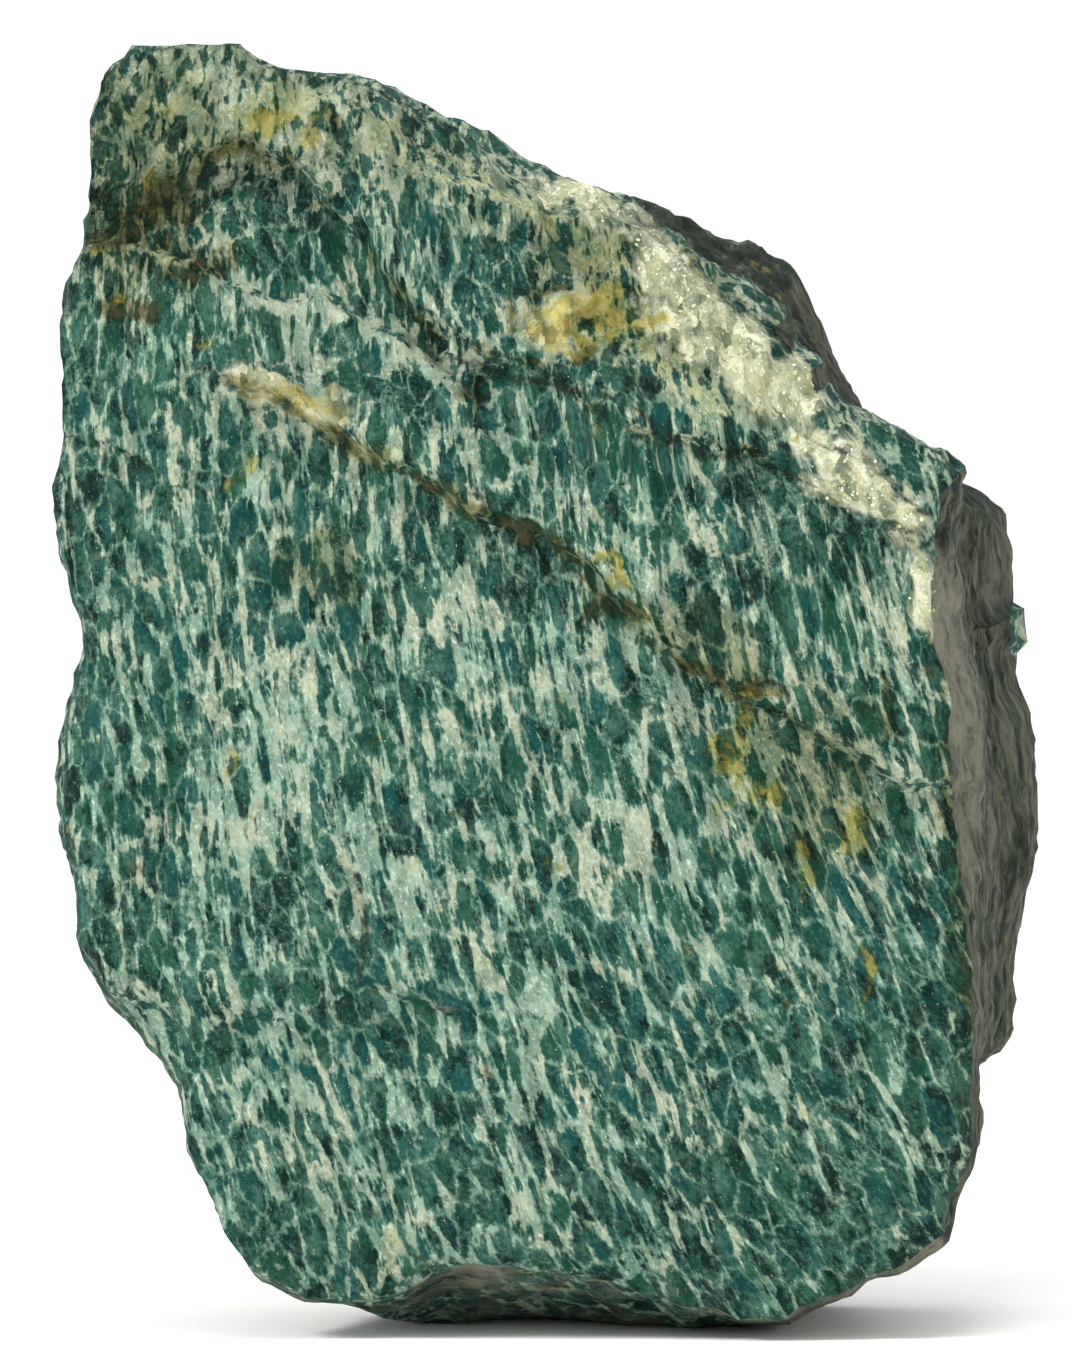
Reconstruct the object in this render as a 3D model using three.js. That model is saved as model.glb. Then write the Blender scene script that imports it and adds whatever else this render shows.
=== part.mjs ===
// A rough block of amazonite, the green variety of microcline feldspar, as it was broken from the pegmatite.
// It stands on a small flat spot. A broad cleavage face looks towards -Y. It is crossed by scarps, where the
// cleavage jumps from one plane to the next, and by a raised vein of quartz and albite. The side walls are
// broken stone, and spread wider behind the face on the right.
//
// Units are millimetres. +X is to the right of the face, +Y goes into the stone, and +Z is up.
// The origin is on the resting plane, under the middle of the bounding box.

import * as THREE from "three";
import { mergeVertices } from "three/addons/utils/BufferGeometryUtils.js";

// ---- Driving dimensions ----

const FACE_PLANE = -27.5; // depth of the cleavage face
const FACE_CENTRE = new THREE.Vector2(0, 52); // rays to the outlines start here
const HALF_WIDTH = 42; // sets how the rays fan out, so that the facets stay even
const HALF_HEIGHT = 56;

const FACETS_ACROSS = 32;
const FACETS_UP = 42;
const FACETS_DEEP = 14;
const SHOULDER_STEP = 2; // facet rows from the face's rim to the shoulder
const GIRTH_STEP = 11; // facet rows from the face's rim to the girth

const SHOULDER_SETBACK = 3; // depth of the shoulder behind the rim where there is no bevel
const SETBACK_PER_BEVEL = 1.8;

const RIM_ROUNDING = 1.3; // how far the face falls back at its rim
const ROUNDED_SHARE = 0.14; // share of the face's radius that rounds off
const RIM_WEAR = 0.7; // the rim is chipped back more in some places than in others
const RIM_WEAR_SCALE = 9;
const CREST_START = 97; // above this height the face leans back, along a line that falls to the right
const CREST_FALL = 0.33;
const CREST_LEAN = 0.42;

const SCARP_HALF_WIDTH = 2.2; // half the width of a scarp's slope
const WANDER = 0.9; // how far a scarp strays from its line
const WANDER_SCALE = 6;
const FADE_PAST_END = 7; // length over which a scarp or the vein dies out past its end

// Outline just behind the face's rim, clockwise from the left: x, z and the bevel's width in front of it.
const SHOULDER = [
  [-42.5, 47.9, 0.9], [-42.3, 53.1, 0.9], [-40.5, 59, 0.6], [-40.5, 61.4, 0.6], [-41.5, 66.1, 0.8],
  [-42.6, 73.1, 0.7], [-41.9, 76.5, 0.9], [-41.6, 80.9, 0.7], [-42.3, 86.9, 0.7], [-42.1, 90.4, 0.9],
  [-40.7, 93.9, 1.2], [-39.4, 99.9, 0.9], [-39.7, 104.4, 1.1], [-38.8, 109.2, 1.4], [-36.4, 112.2, 1.5],
  [-29.9, 112.4, 1.2], [-26.6, 112, 1.2], [-24.5, 110.3, 1.2], [-17.3, 109.4, 1.6], [-13.2, 108.5, 2],
  [-9.1, 106.4, 2.2], [-4.6, 104.8, 2.2], [-2, 102.6, 1.8], [2.2, 100.6, 1.6], [7.4, 98.6, 1.3],
  [11.8, 95.4, 1], [14.1, 92.8, 0.9], [17.6, 91.6, 0.9], [21, 88.7, 0.9], [22.1, 86, 1],
  [24, 84.2, 1.2], [23.9, 82.2, 1.1], [27.7, 80, 1.1], [34.4, 76.5, 1.1], [36.5, 74.8, 1],
  [35.7, 69.6, 1.4], [36.4, 62.7, 2.3], [37.6, 56.6, 3], [38.1, 47.1, 3.4], [38.2, 40.1, 3],
  [37.8, 33.2, 2.2], [37.2, 23.7, 1.5], [37.4, 17.6, 0.9], [36.8, 14.1, 0.9], [35.4, 10.2, 0.9],
  [35.1, 8.1, 1], [30.6, 5.5, 1], [28, 4.9, 1], [26, 3.6, 1], [22.5, 2.3, 1.2],
  [20.9, 1.1, 1.8], [14.8, 1.2, 2.4], [12, 0.3, 2.6], [4.8, 1.1, 2.9], [0, 1.6, 3],
  [-3.9, 1.1, 3.5], [-9.1, -0.2, 4], [-12.5, 0.4, 3.2], [-17, 2.5, 1.6], [-21.2, 2.9, 1.2],
  [-25.5, 5.4, 1], [-28.5, 10.5, 0.9], [-31, 15.9, 0.7], [-31.8, 21.1, 0.7], [-34, 24.5, 0.9],
  [-38.7, 29.7, 1.2], [-40.8, 33.4, 1], [-41.1, 40.1, 0.7], [-42.1, 43.4, 0.7],
];

// Outline at the stone's deeper girth, clockwise from the left: x, z and depth y.
const GIRTH = [
  [-39.5, 83.3, 2], [-37.8, 93.2, 0], [-35, 101.9, -2], [-29.8, 107.9, 0], [-21.8, 108.7, 2],
  [-11.1, 105.8, 4], [-1.3, 102.5, 8], [8.7, 100.5, 14], [17.9, 96.8, 16], [18.6, 97.2, 16],
  [22.9, 94.1, 16], [23.9, 92.1, 16], [28.2, 83.1, 16], [30.7, 78.6, 16], [38.8, 74.6, 16],
  [42, 72.5, 16], [42.9, 69, 16], [42.7, 63.6, 14], [43.9, 63.1, 14], [44.1, 60, 14],
  [43.2, 59.2, 14], [43.4, 55.9, 14], [44.5, 53.4, 14], [44.9, 45, 14], [44.7, 40.9, 14],
  [43.1, 33.4, 14], [42.6, 24.5, 14], [41.6, 22.9, 14], [39.3, 21.5, 13], [37.2, 14.1, 10],
  [32.6, 6.1, 8], [23.1, -0.3, 8], [17.7, -2.9, 9], [5.1, -3.3, 10], [-9.4, -2.6, 8],
  [-18.4, 4.3, 5], [-25.9, 12.8, 2], [-29.4, 20.9, 1], [-36, 30.3, 0], [-39.6, 40.6, 0],
  [-40.3, 51.3, 0], [-38.9, 62, 0], [-39.9, 72.6, -1],
];

// Outline where the walls meet the broken back, clockwise from the top: x and z.
const BACK_RIM = [
  [8.9, 89], [21.9, 82.6], [28.3, 71.5], [33.4, 60.3], [33, 43.7], [31.1, 30.7], [23.7, 15.9], [8.9, 7.6],
  [-5.9, 8.5], [-19.8, 15.9], [-28.2, 30.7], [-31.9, 47.4], [-30.9, 67.7], [-28.2, 84.4], [-19.8, 96.5],
  [-5.9, 97.4],
];

// Scarps on the face. The stone stands proud by rise on the left of the line's direction and dies away
// over reach; on its right it is sunk by drop, which dies away over dropReach.
const FACE_SCARPS = [
  { // long diagonal fracture
    line: [[-26.4, 81.7], [-20.8, 78.9], [-12.3, 74.5], [-2.1, 69.6], [4.7, 65.1], [8.1, 61.7],
      [16.2, 55.7], [26, 50.6], [35.4, 46.4]],
    rise: 1.5, reach: 15, drop: 0.9, dropReach: 7,
  },
  { // arched edge under the upper recess
    line: [[-6, 79.6], [-7.1, 82], [-11.2, 84.9], [-15.3, 87.3], [-18.3, 88.7], [-22, 88.5], [-24.7, 89.9]],
    rise: 1.1, reach: 9, drop: 0.7, dropReach: 6,
  },
  { // foot of the quartz vein
    line: [[-5.9, 85.2], [0.4, 81.7], [5.5, 79.7], [10, 76.8], [19.9, 75.3], [22.4, 73.9], [27.4, 70.7]],
    rise: 1, reach: 16, drop: 0.6, dropReach: 5,
  },
  { // roof of the upper recess
    line: [[-43, 94.5], [-39.2, 96.6], [-35.9, 99], [-27.8, 101.1], [-25.1, 102.5], [-22.2, 101.1],
      [-16.8, 96.7], [-13.6, 91.5], [-9.8, 86]],
    rise: 1.4, reach: 16, drop: 1.9, dropReach: 6,
  },
  { // ledge below the notch in the left edge
    line: [[-28.5, 91.5], [-32.8, 94], [-37.4, 94.3], [-42, 93.6]],
    rise: 1.4, reach: 8, drop: 0.6, dropReach: 4,
  },
  { // brow over the lower left flank
    line: [[-38.5, 30.4], [-29.4, 28.3], [-20.8, 27.5], [-17, 29.1], [-10.6, 28.5]],
    rise: 1.2, reach: 12, drop: 1, dropReach: 14,
  },
  { // small ledge on the left edge
    line: [[-42.5, 77.2], [-37, 76.5], [-33.6, 74.5]],
    rise: 0.7, reach: 6, drop: 0.6, dropReach: 4,
  },
];

// The quartz vein stands out of the face as a lumpy ridge.
const VEIN = [[-18.3, 106], [-12.3, 101.8], [-8.1, 98.4], [-2.1, 97.5], [4.7, 97.5], [9.8, 94.1], [14.1, 89.8],
  [19.2, 85.1], [22.6, 81.7], [25.2, 76.2], [29.4, 72.8], [32.4, 68.5], [33.5, 61.7]];
const VEIN_HALF_WIDTH = 4.5;
const VEIN_RISE = 1.2;
const VEIN_LUMPS = 0.6;
const VEIN_LUMP_SCALE = 5;

// The back is the nearest of these broken planes: depth at the centre, slope in x, slope in z.
const BACK_CENTRE = new THREE.Vector2(2, 56);
const BACK_PLANES = [
  [28.5, -0.1, -0.05],
  [30.5, -0.42, 0.1],
  [31, 0.34, -0.16],
  [32.5, 0.06, -0.4],
  [33, -0.08, 0.42],
];
const BACK_SCARPS = [
  { line: [[-34, 48], [-14, 42], [6, 50], [22, 38], [36, 40]], rise: 1.4, reach: 18, drop: 0.6, dropReach: 8 },
  { line: [[-6, 98], [-2, 78], [-10, 62], [-6, 46]], rise: 1, reach: 12, drop: 0.5, dropReach: 8 },
];

// Broken stone is made of small flat facets of two sizes, and of ledges where it split in layers.
const FACET_SIZE = 15;
const FACET_RELIEF = 1.7;
const CHIP_SIZE = 6.5;
const CHIP_RELIEF = 0.6;
const LEDGE_PITCH = 7.5;
const LEDGE_RELIEF = 1.2;
const LEDGE_RISER = 0.3; // share of the pitch that the step takes
const LAYER_SLANT = 0.35; // the layers lie a little across the stone's depth
const LAYER_WAVE = 0.9; // waves of the layers, in pitches
const LAYER_WAVE_SCALE = 18;
const LAYER_WAVE_HEIGHT = 30;
const BROKEN_SHARE_ON_FACE = 0.22; // the cleavage face is much flatter than the walls
const INWARD_BIAS = 0.5; // walls are cut inwards more than they stand out
const OUTLINE_HOLD = 4; // facet rows over which the relief fades out towards a measured outline
const OUTLINE_SHARE = 0.1; // relief left on the outline itself

// ---- Noise on a lattice ----

function randomAt(i, j, k, salt) {
  const s = Math.sin(i * 127.1 + j * 311.7 + k * 74.7 + salt * 53.3) * 43758.5453;
  return s - Math.floor(s);
}

// Smooth noise from -1 to 1.
function noise(x, y, z, salt) {
  const cell = [x, y, z].map(Math.floor);
  const inCell = [x, y, z].map((v, n) => THREE.MathUtils.smoothstep(v - cell[n], 0, 1));
  let sum = 0;
  for (let corner = 0; corner < 8; corner++) {
    const offset = [corner & 1, (corner >> 1) & 1, corner >> 2];
    const weight = offset.reduce((w, o, n) => w * (o ? inCell[n] : 1 - inCell[n]), 1);
    sum += weight * randomAt(cell[0] + offset[0], cell[1] + offset[1], cell[2] + offset[2], salt);
  }
  return 2 * sum - 1;
}

// Noise from -1 to 1 that is flat within each tetrahedron of the lattice, so it breaks a form into facets.
function facets(p, size, salt) {
  // The lattice is turned, so that its own planes don't line up with the faces of the stone.
  const x = (0.82 * p.x + 0.41 * p.y - 0.4 * p.z) / size;
  const y = (-0.57 * p.x + 0.55 * p.y - 0.61 * p.z) / size;
  const z = (-0.03 * p.x + 0.73 * p.y + 0.68 * p.z) / size;
  const corner = [Math.floor(x), Math.floor(y), Math.floor(z)];
  const inCell = [x - corner[0], y - corner[1], z - corner[2]];
  const order = [0, 1, 2].sort((a, b) => inCell[b] - inCell[a]);
  let height = (1 - inCell[order[0]]) * randomAt(...corner, salt);
  order.forEach((axis, n) => {
    corner[axis] += 1;
    const next = n < 2 ? inCell[order[n + 1]] : 0;
    height += (inCell[axis] - next) * randomAt(...corner, salt);
  });
  return 2 * height - 1;
}

// A saw-tooth of flat treads and steep risers, from -0.5 to 0.5, along t.
function ledges(t) {
  const inStep = t - Math.floor(t);
  const riser = THREE.MathUtils.smoothstep(inStep, 1 - LEDGE_RISER, 1);
  return inStep < 1 - LEDGE_RISER ? 0.5 - inStep / (1 - LEDGE_RISER) : riser - 0.5;
}

// ---- Outlines ----

// Where the ray from the centre leaves a closed outline: its distance, and the outline's third value there.
function leave(outline, direction) {
  for (let n = 0; n < outline.length; n++) {
    const a = outline[n];
    const b = outline[(n + 1) % outline.length];
    const ax = a[0] - FACE_CENTRE.x;
    const az = a[1] - FACE_CENTRE.y;
    const ex = b[0] - a[0];
    const ez = b[1] - a[1];
    const det = direction.x * ez - direction.y * ex;
    if (Math.abs(det) < 1e-12) continue;
    const distance = (ax * ez - az * ex) / det;
    const along = (ax * direction.y - az * direction.x) / det;
    if (distance > 0 && along >= 0 && along < 1) {
      return { distance, value: (a[2] ?? 0) * (1 - along) + (b[2] ?? 0) * along };
    }
  }
  throw new Error("an outline doesn't go round the centre");
}

// ---- Scarps ----

// Signed distance from a line, positive on the left of its direction, and how far past its ends the point is.
function fromLine(line, x, z) {
  let best = { away: Infinity, side: 1, past: 0 };
  for (let n = 0; n + 1 < line.length; n++) {
    const [ax, az] = line[n];
    const ex = line[n + 1][0] - ax;
    const ez = line[n + 1][1] - az;
    const length = Math.hypot(ex, ez);
    const along = ((x - ax) * ex + (z - az) * ez) / length;
    const held = THREE.MathUtils.clamp(along, 0, length);
    const away = Math.hypot(x - ax - (held * ex) / length, z - az - (held * ez) / length);
    if (away >= best.away) continue;
    const first = n === 0 && along < 0;
    const last = n + 2 === line.length && along > length;
    best = {
      away,
      side: ex * (z - az) - ez * (x - ax) >= 0 ? 1 : -1,
      past: first ? -along : last ? along - length : 0,
    };
  }
  return best;
}

function scarpHeight(scarps, x, z) {
  const wx = x + WANDER * noise(x / WANDER_SCALE, 0, z / WANDER_SCALE, 11);
  const wz = z + WANDER * noise(x / WANDER_SCALE, 5, z / WANDER_SCALE, 12);
  let height = 0;
  for (const scarp of scarps) {
    const { away, side, past } = fromLine(scarp.line, wx, wz);
    const up = THREE.MathUtils.smoothstep(side * away, -SCARP_HALF_WIDTH, SCARP_HALF_WIDTH);
    const proud = scarp.rise * Math.exp(-away / scarp.reach);
    const sunk = scarp.drop * Math.exp(-away / scarp.dropReach);
    const fade = 1 - THREE.MathUtils.smoothstep(past, 0, FADE_PAST_END);
    height += fade * (up * proud - (1 - up) * sunk);
  }
  return height;
}

function veinHeight(x, z) {
  const { away, past } = fromLine(VEIN, x, z);
  const ridge = 1 - THREE.MathUtils.smoothstep(away, 0, VEIN_HALF_WIDTH);
  const lumps = 1 + VEIN_LUMPS * noise(x / VEIN_LUMP_SCALE, 2, z / VEIN_LUMP_SCALE, 13);
  return VEIN_RISE * ridge * lumps * (1 - THREE.MathUtils.smoothstep(past, 0, FADE_PAST_END));
}

// ---- The two broad faces ----

function rimWear(x, z) {
  return 1 + RIM_WEAR * noise(x / RIM_WEAR_SCALE, 7, z / RIM_WEAR_SCALE, 15);
}

function faceDepth(x, z, share) {
  const rim = Math.max(0, (share - 1 + ROUNDED_SHARE) / ROUNDED_SHARE);
  const crest = Math.max(0, z - CREST_START + CREST_FALL * (x + HALF_WIDTH));
  return FACE_PLANE + RIM_ROUNDING * rimWear(x, z) * rim ** 3 + CREST_LEAN * crest
    - scarpHeight(FACE_SCARPS, x, z) - veinHeight(x, z);
}

function backDepth(x, z) {
  const depths = BACK_PLANES.map(([d, sx, sz]) => d + sx * (x - BACK_CENTRE.x) + sz * (z - BACK_CENTRE.y));
  return Math.min(...depths) + scarpHeight(BACK_SCARPS, x, z);
}

// ---- The stone ----

// Moves a point of a 2 x 2 x 2 box to the stone. across and up run over the face, and row counts the facet
// rows from the face's rim (0) to the back's (FACETS_DEEP).
function stonePoint(across, up, row) {
  const share = Math.max(Math.abs(across), Math.abs(up));
  let turn = 0;
  if (Math.abs(across) > Math.abs(up)) turn = (Math.PI / 4) * (up / across) + (across < 0 ? Math.PI : 0);
  else if (share > 0) turn = Math.PI / 2 - (Math.PI / 4) * (across / up) + (up < 0 ? Math.PI : 0);
  const direction = new THREE.Vector2(HALF_WIDTH * Math.cos(turn), HALF_HEIGHT * Math.sin(turn)).normalize();

  const at = (distance) => FACE_CENTRE.clone().addScaledVector(direction, distance);
  const shoulder = leave(SHOULDER, direction);
  const edge = at(shoulder.distance);
  const bevel = shoulder.value * rimWear(edge.x, edge.y);
  const rimDistance = shoulder.distance - bevel;
  if (row === 0) {
    const p = at(share * rimDistance);
    return new THREE.Vector3(p.x, faceDepth(p.x, p.y, share), p.y);
  }
  const backDistance = leave(BACK_RIM, direction).distance;
  if (row === FACETS_DEEP) {
    const p = at(share * backDistance);
    return new THREE.Vector3(p.x, backDepth(p.x, p.y), p.y);
  }

  const girth = leave(GIRTH, direction);
  const rim = at(rimDistance);
  const back = at(backDistance);
  const rimDepth = faceDepth(rim.x, rim.y, 1);
  const stations = [
    [0, rimDistance, rimDepth],
    [SHOULDER_STEP, shoulder.distance, rimDepth + SHOULDER_SETBACK + SETBACK_PER_BEVEL * bevel],
    [GIRTH_STEP, girth.distance, girth.value],
    [FACETS_DEEP, backDistance, backDepth(back.x, back.y)],
  ];
  const next = stations.findIndex(([station]) => station >= row);
  const [fromRow, fromDistance, fromDepth] = stations[next - 1];
  const [toRow, toDistance, toDepth] = stations[next];
  const t = (row - fromRow) / (toRow - fromRow);
  const p = at(THREE.MathUtils.lerp(fromDistance, toDistance, t));
  return new THREE.Vector3(p.x, THREE.MathUtils.lerp(fromDepth, toDepth, t), p.y);
}

// Share of the relief that a facet row takes, so that the shoulder and the girth keep their outlines.
function reliefShare(row) {
  const away = Math.min(Math.abs(row - SHOULDER_STEP), Math.abs(row - GIRTH_STEP));
  return THREE.MathUtils.lerp(OUTLINE_SHARE, 1, THREE.MathUtils.smoothstep(away, 0, OUTLINE_HOLD));
}

// How far the broken surface stands out of the smooth form.
function relief(p, n) {
  const facing = THREE.MathUtils.smoothstep(-n.y, 0.5, 0.9); // 1 on the cleavage face, 0 elsewhere
  const under = THREE.MathUtils.smoothstep(-n.z, 0.6, 0.9); // 1 on the resting spot, which stays level
  const wall = (1 - THREE.MathUtils.smoothstep(Math.abs(n.y), 0.4, 0.8)) * (1 - under);
  const bias = INWARD_BIAS * wall;
  const broken = THREE.MathUtils.lerp(1, BROKEN_SHARE_ON_FACE, facing) * (1 - under);
  const wave = noise(p.x / LAYER_WAVE_SCALE, p.y / LAYER_WAVE_SCALE, p.z / LAYER_WAVE_HEIGHT, 14);
  const layer = (p.y + LAYER_SLANT * p.x) / LEDGE_PITCH + LAYER_WAVE * wave;
  return broken * FACET_RELIEF * (facets(p, FACET_SIZE, 1) - bias)
    + broken * CHIP_RELIEF * (facets(p, CHIP_SIZE, 2) - bias)
    + wall * LEDGE_RELIEF * (ledges(layer) - INWARD_BIAS);
}

// Turns the diagonal of each quad the way that bends less, so that scarps run cleanly across the facets.
function turnDiagonals(geometry) {
  const { index } = geometry;
  const { position } = geometry.attributes;
  const corner = (v) => new THREE.Vector3().fromBufferAttribute(position, v);
  const normalOf = (triangle) => new THREE.Triangle(...triangle.map(corner)).getNormal(new THREE.Vector3());
  const flatness = (first, second) => normalOf(first).dot(normalOf(second));
  for (let n = 0; n < index.count; n += 6) { // a box has each quad as a-b-d and b-c-d
    const [a, b, d, c] = [0, 1, 2, 4].map((offset) => index.getX(n + offset));
    if (flatness([a, b, c], [a, c, d]) <= flatness([a, b, d], [b, c, d])) continue;
    [a, b, c, a, c, d].forEach((v, offset) => index.setX(n + offset, v));
  }
}

function makeStone() {
  const box = new THREE.BoxGeometry(2, 2, 2, FACETS_ACROSS, FACETS_UP, FACETS_DEEP);
  box.deleteAttribute("normal");
  box.deleteAttribute("uv");
  const geometry = mergeVertices(box);
  const position = geometry.attributes.position;
  const rows = [];
  for (let v = 0; v < position.count; v++) {
    rows.push(Math.round(((1 - position.getZ(v)) / 2) * FACETS_DEEP));
    const p = stonePoint(position.getX(v), position.getY(v), rows[v]);
    position.setXYZ(v, p.x, p.y, p.z);
  }
  geometry.computeVertexNormals();
  const normals = geometry.attributes.normal;
  for (let v = 0; v < position.count; v++) {
    const p = new THREE.Vector3().fromBufferAttribute(position, v);
    const n = new THREE.Vector3().fromBufferAttribute(normals, v);
    p.addScaledVector(n, reliefShare(rows[v]) * relief(p, n));
    position.setXYZ(v, p.x, p.y, Math.max(p.z, 0)); // the resting spot is worn flat
  }
  turnDiagonals(geometry);
  geometry.computeBoundingBox();
  const middle = geometry.boundingBox.getCenter(new THREE.Vector3());
  geometry.translate(-middle.x, -middle.y, -geometry.boundingBox.min.z);
  geometry.computeVertexNormals();
  return geometry;
}

const amazonite = new THREE.MeshStandardMaterial({ color: "#4f7465", roughness: 0.55, metalness: 0 });
const stone = new THREE.Mesh(makeStone(), amazonite);
stone.name = "amazonite_stone";

const specimen = new THREE.Group();
specimen.add(stone);

export default specimen;
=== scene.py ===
"""A rough block of amazonite: green microcline with cream stringers, a quartz vein and broken sides.

The stone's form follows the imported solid, and is worked out here again on a finer grid. Lengths in the lists
are millimetres, in the stone's own frame: x to the right of the cleavage face, y into the stone, z up.
"""
import math

import bpy
import numpy as np
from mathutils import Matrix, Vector


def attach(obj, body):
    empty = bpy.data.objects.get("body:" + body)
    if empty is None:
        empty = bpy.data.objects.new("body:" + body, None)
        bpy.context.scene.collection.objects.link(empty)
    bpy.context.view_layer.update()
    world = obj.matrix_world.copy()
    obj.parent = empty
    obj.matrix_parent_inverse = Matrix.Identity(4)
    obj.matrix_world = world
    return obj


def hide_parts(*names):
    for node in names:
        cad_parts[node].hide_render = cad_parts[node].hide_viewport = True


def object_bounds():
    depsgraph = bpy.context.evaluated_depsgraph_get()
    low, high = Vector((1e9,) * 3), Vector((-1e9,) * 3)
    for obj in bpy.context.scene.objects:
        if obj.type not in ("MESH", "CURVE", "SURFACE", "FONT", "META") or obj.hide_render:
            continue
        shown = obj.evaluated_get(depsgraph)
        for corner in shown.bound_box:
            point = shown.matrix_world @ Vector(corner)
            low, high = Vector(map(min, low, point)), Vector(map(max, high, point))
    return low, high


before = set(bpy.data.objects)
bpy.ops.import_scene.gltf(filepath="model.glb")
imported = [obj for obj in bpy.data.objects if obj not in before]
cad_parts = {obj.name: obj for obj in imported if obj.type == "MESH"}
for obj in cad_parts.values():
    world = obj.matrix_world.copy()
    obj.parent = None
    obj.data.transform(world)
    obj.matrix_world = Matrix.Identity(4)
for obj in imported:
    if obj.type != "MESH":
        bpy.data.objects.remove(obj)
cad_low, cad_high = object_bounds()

bl_info = {
    "name": "Rough amazonite",
    "version": (1, 0, 0),
    "blender": (4, 5, 0),
    "location": "View3D > Sidebar > Amazonite",
    "description": "Makes a rough block of amazonite and a plain studio stage",
    "category": "Add Mesh",
}

MM = 0.001
NODE = "amazonite_stone"
BODY = "root"

# ---- The stone's form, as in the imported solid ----

FACE_PLANE = -27.5  # depth of the cleavage face
CENTRE_X, CENTRE_Z = 0, 52  # rays to the outlines start here
HALF_WIDTH, HALF_HEIGHT = 42, 56  # set how the rays fan out
SHOULDER_ROW, GIRTH_ROW, BACK_ROW = 2, 11, 14  # where the outlines lie between the face's rim (0) and the back
SHOULDER_SETBACK = 3  # depth of the shoulder behind the rim where there is no bevel
SETBACK_PER_BEVEL = 1.8  # further setback for each millimetre of bevel
RIM_ROUNDING, ROUNDED_SHARE = 1.3, 0.14  # how far the face turns back at its rim, over this outer share
RIM_WEAR, RIM_WEAR_SCALE = 0.7, 9  # the rim's rounding and bevel vary by this share, over this distance
CREST_START, CREST_FALL, CREST_LEAN = 97, 0.33, 0.42  # the face leans back above a line that falls to the right
SCARP_HALF_WIDTH = 2.2
SCARP_WANDER = [(0.9, 6, 0, 11)]  # reach, size, level and salt of each step of the wander
FADE_PAST_END = 7  # distance in which a scarp or the vein fades out past its end

# Outline just behind the face's rim, clockwise from the left: x, z and the bevel's width in front of it.
SHOULDER = [
    (-42.5, 47.9, 0.9), (-42.3, 53.1, 0.9), (-40.5, 59, 0.6), (-40.5, 61.4, 0.6), (-41.5, 66.1, 0.8),
    (-42.6, 73.1, 0.7), (-41.9, 76.5, 0.9), (-41.6, 80.9, 0.7), (-42.3, 86.9, 0.7), (-42.1, 90.4, 0.9),
    (-40.7, 93.9, 1.2), (-39.4, 99.9, 0.9), (-39.7, 104.4, 1.1), (-38.8, 109.2, 1.4), (-36.4, 112.2, 1.5),
    (-29.9, 112.4, 1.2), (-26.6, 112, 1.2), (-24.5, 110.3, 1.2), (-17.3, 109.4, 1.6), (-13.2, 108.5, 2),
    (-9.1, 106.4, 2.2), (-4.6, 104.8, 2.2), (-2, 102.6, 1.8), (2.2, 100.6, 1.6), (7.4, 98.6, 1.3),
    (11.8, 95.4, 1), (14.1, 92.8, 0.9), (17.6, 91.6, 0.9), (21, 88.7, 0.9), (22.1, 86, 1),
    (24, 84.2, 1.2), (23.9, 82.2, 1.1), (27.7, 80, 1.1), (34.4, 76.5, 1.1), (36.5, 74.8, 1),
    (35.7, 69.6, 1.4), (36.4, 62.7, 2.3), (37.6, 56.6, 3), (38.1, 47.1, 3.4), (38.2, 40.1, 3),
    (37.8, 33.2, 2.2), (37.2, 23.7, 1.5), (37.4, 17.6, 0.9), (36.8, 14.1, 0.9), (35.4, 10.2, 0.9),
    (35.1, 8.1, 1), (30.6, 5.5, 1), (28, 4.9, 1), (26, 3.6, 1), (22.5, 2.3, 1.2),
    (20.9, 1.1, 1.8), (14.8, 1.2, 2.4), (12, 0.3, 2.6), (4.8, 1.1, 2.9), (0, 1.6, 3),
    (-3.9, 1.1, 3.5), (-9.1, -0.2, 4), (-12.5, 0.4, 3.2), (-17, 2.5, 1.6), (-21.2, 2.9, 1.2),
    (-25.5, 5.4, 1), (-28.5, 10.5, 0.9), (-31, 15.9, 0.7), (-31.8, 21.1, 0.7), (-34, 24.5, 0.9),
    (-38.7, 29.7, 1.2), (-40.8, 33.4, 1), (-41.1, 40.1, 0.7), (-42.1, 43.4, 0.7),
]

# Outline at the stone's deeper girth, clockwise from the left: x, z and depth y.
GIRTH = [
    (-39.5, 83.3, 2), (-37.8, 93.2, 0), (-35, 101.9, -2), (-29.8, 107.9, 0), (-21.8, 108.7, 2),
    (-11.1, 105.8, 4), (-1.3, 102.5, 8), (8.7, 100.5, 14), (17.9, 96.8, 16), (18.6, 97.2, 16),
    (22.9, 94.1, 16), (23.9, 92.1, 16), (28.2, 83.1, 16), (30.7, 78.6, 16), (38.8, 74.6, 16),
    (42, 72.5, 16), (42.9, 69, 16), (42.7, 63.6, 14), (43.9, 63.1, 14), (44.1, 60, 14),
    (43.2, 59.2, 14), (43.4, 55.9, 14), (44.5, 53.4, 14), (44.9, 45, 14), (44.7, 40.9, 14),
    (43.1, 33.4, 14), (42.6, 24.5, 14), (41.6, 22.9, 14), (39.3, 21.5, 13), (37.2, 14.1, 10),
    (32.6, 6.1, 8), (23.1, -0.3, 8), (17.7, -2.9, 9), (5.1, -3.3, 10), (-9.4, -2.6, 8),
    (-18.4, 4.3, 5), (-25.9, 12.8, 2), (-29.4, 20.9, 1), (-36, 30.3, 0), (-39.6, 40.6, 0),
    (-40.3, 51.3, 0), (-38.9, 62, 0), (-39.9, 72.6, -1),
]

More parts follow.
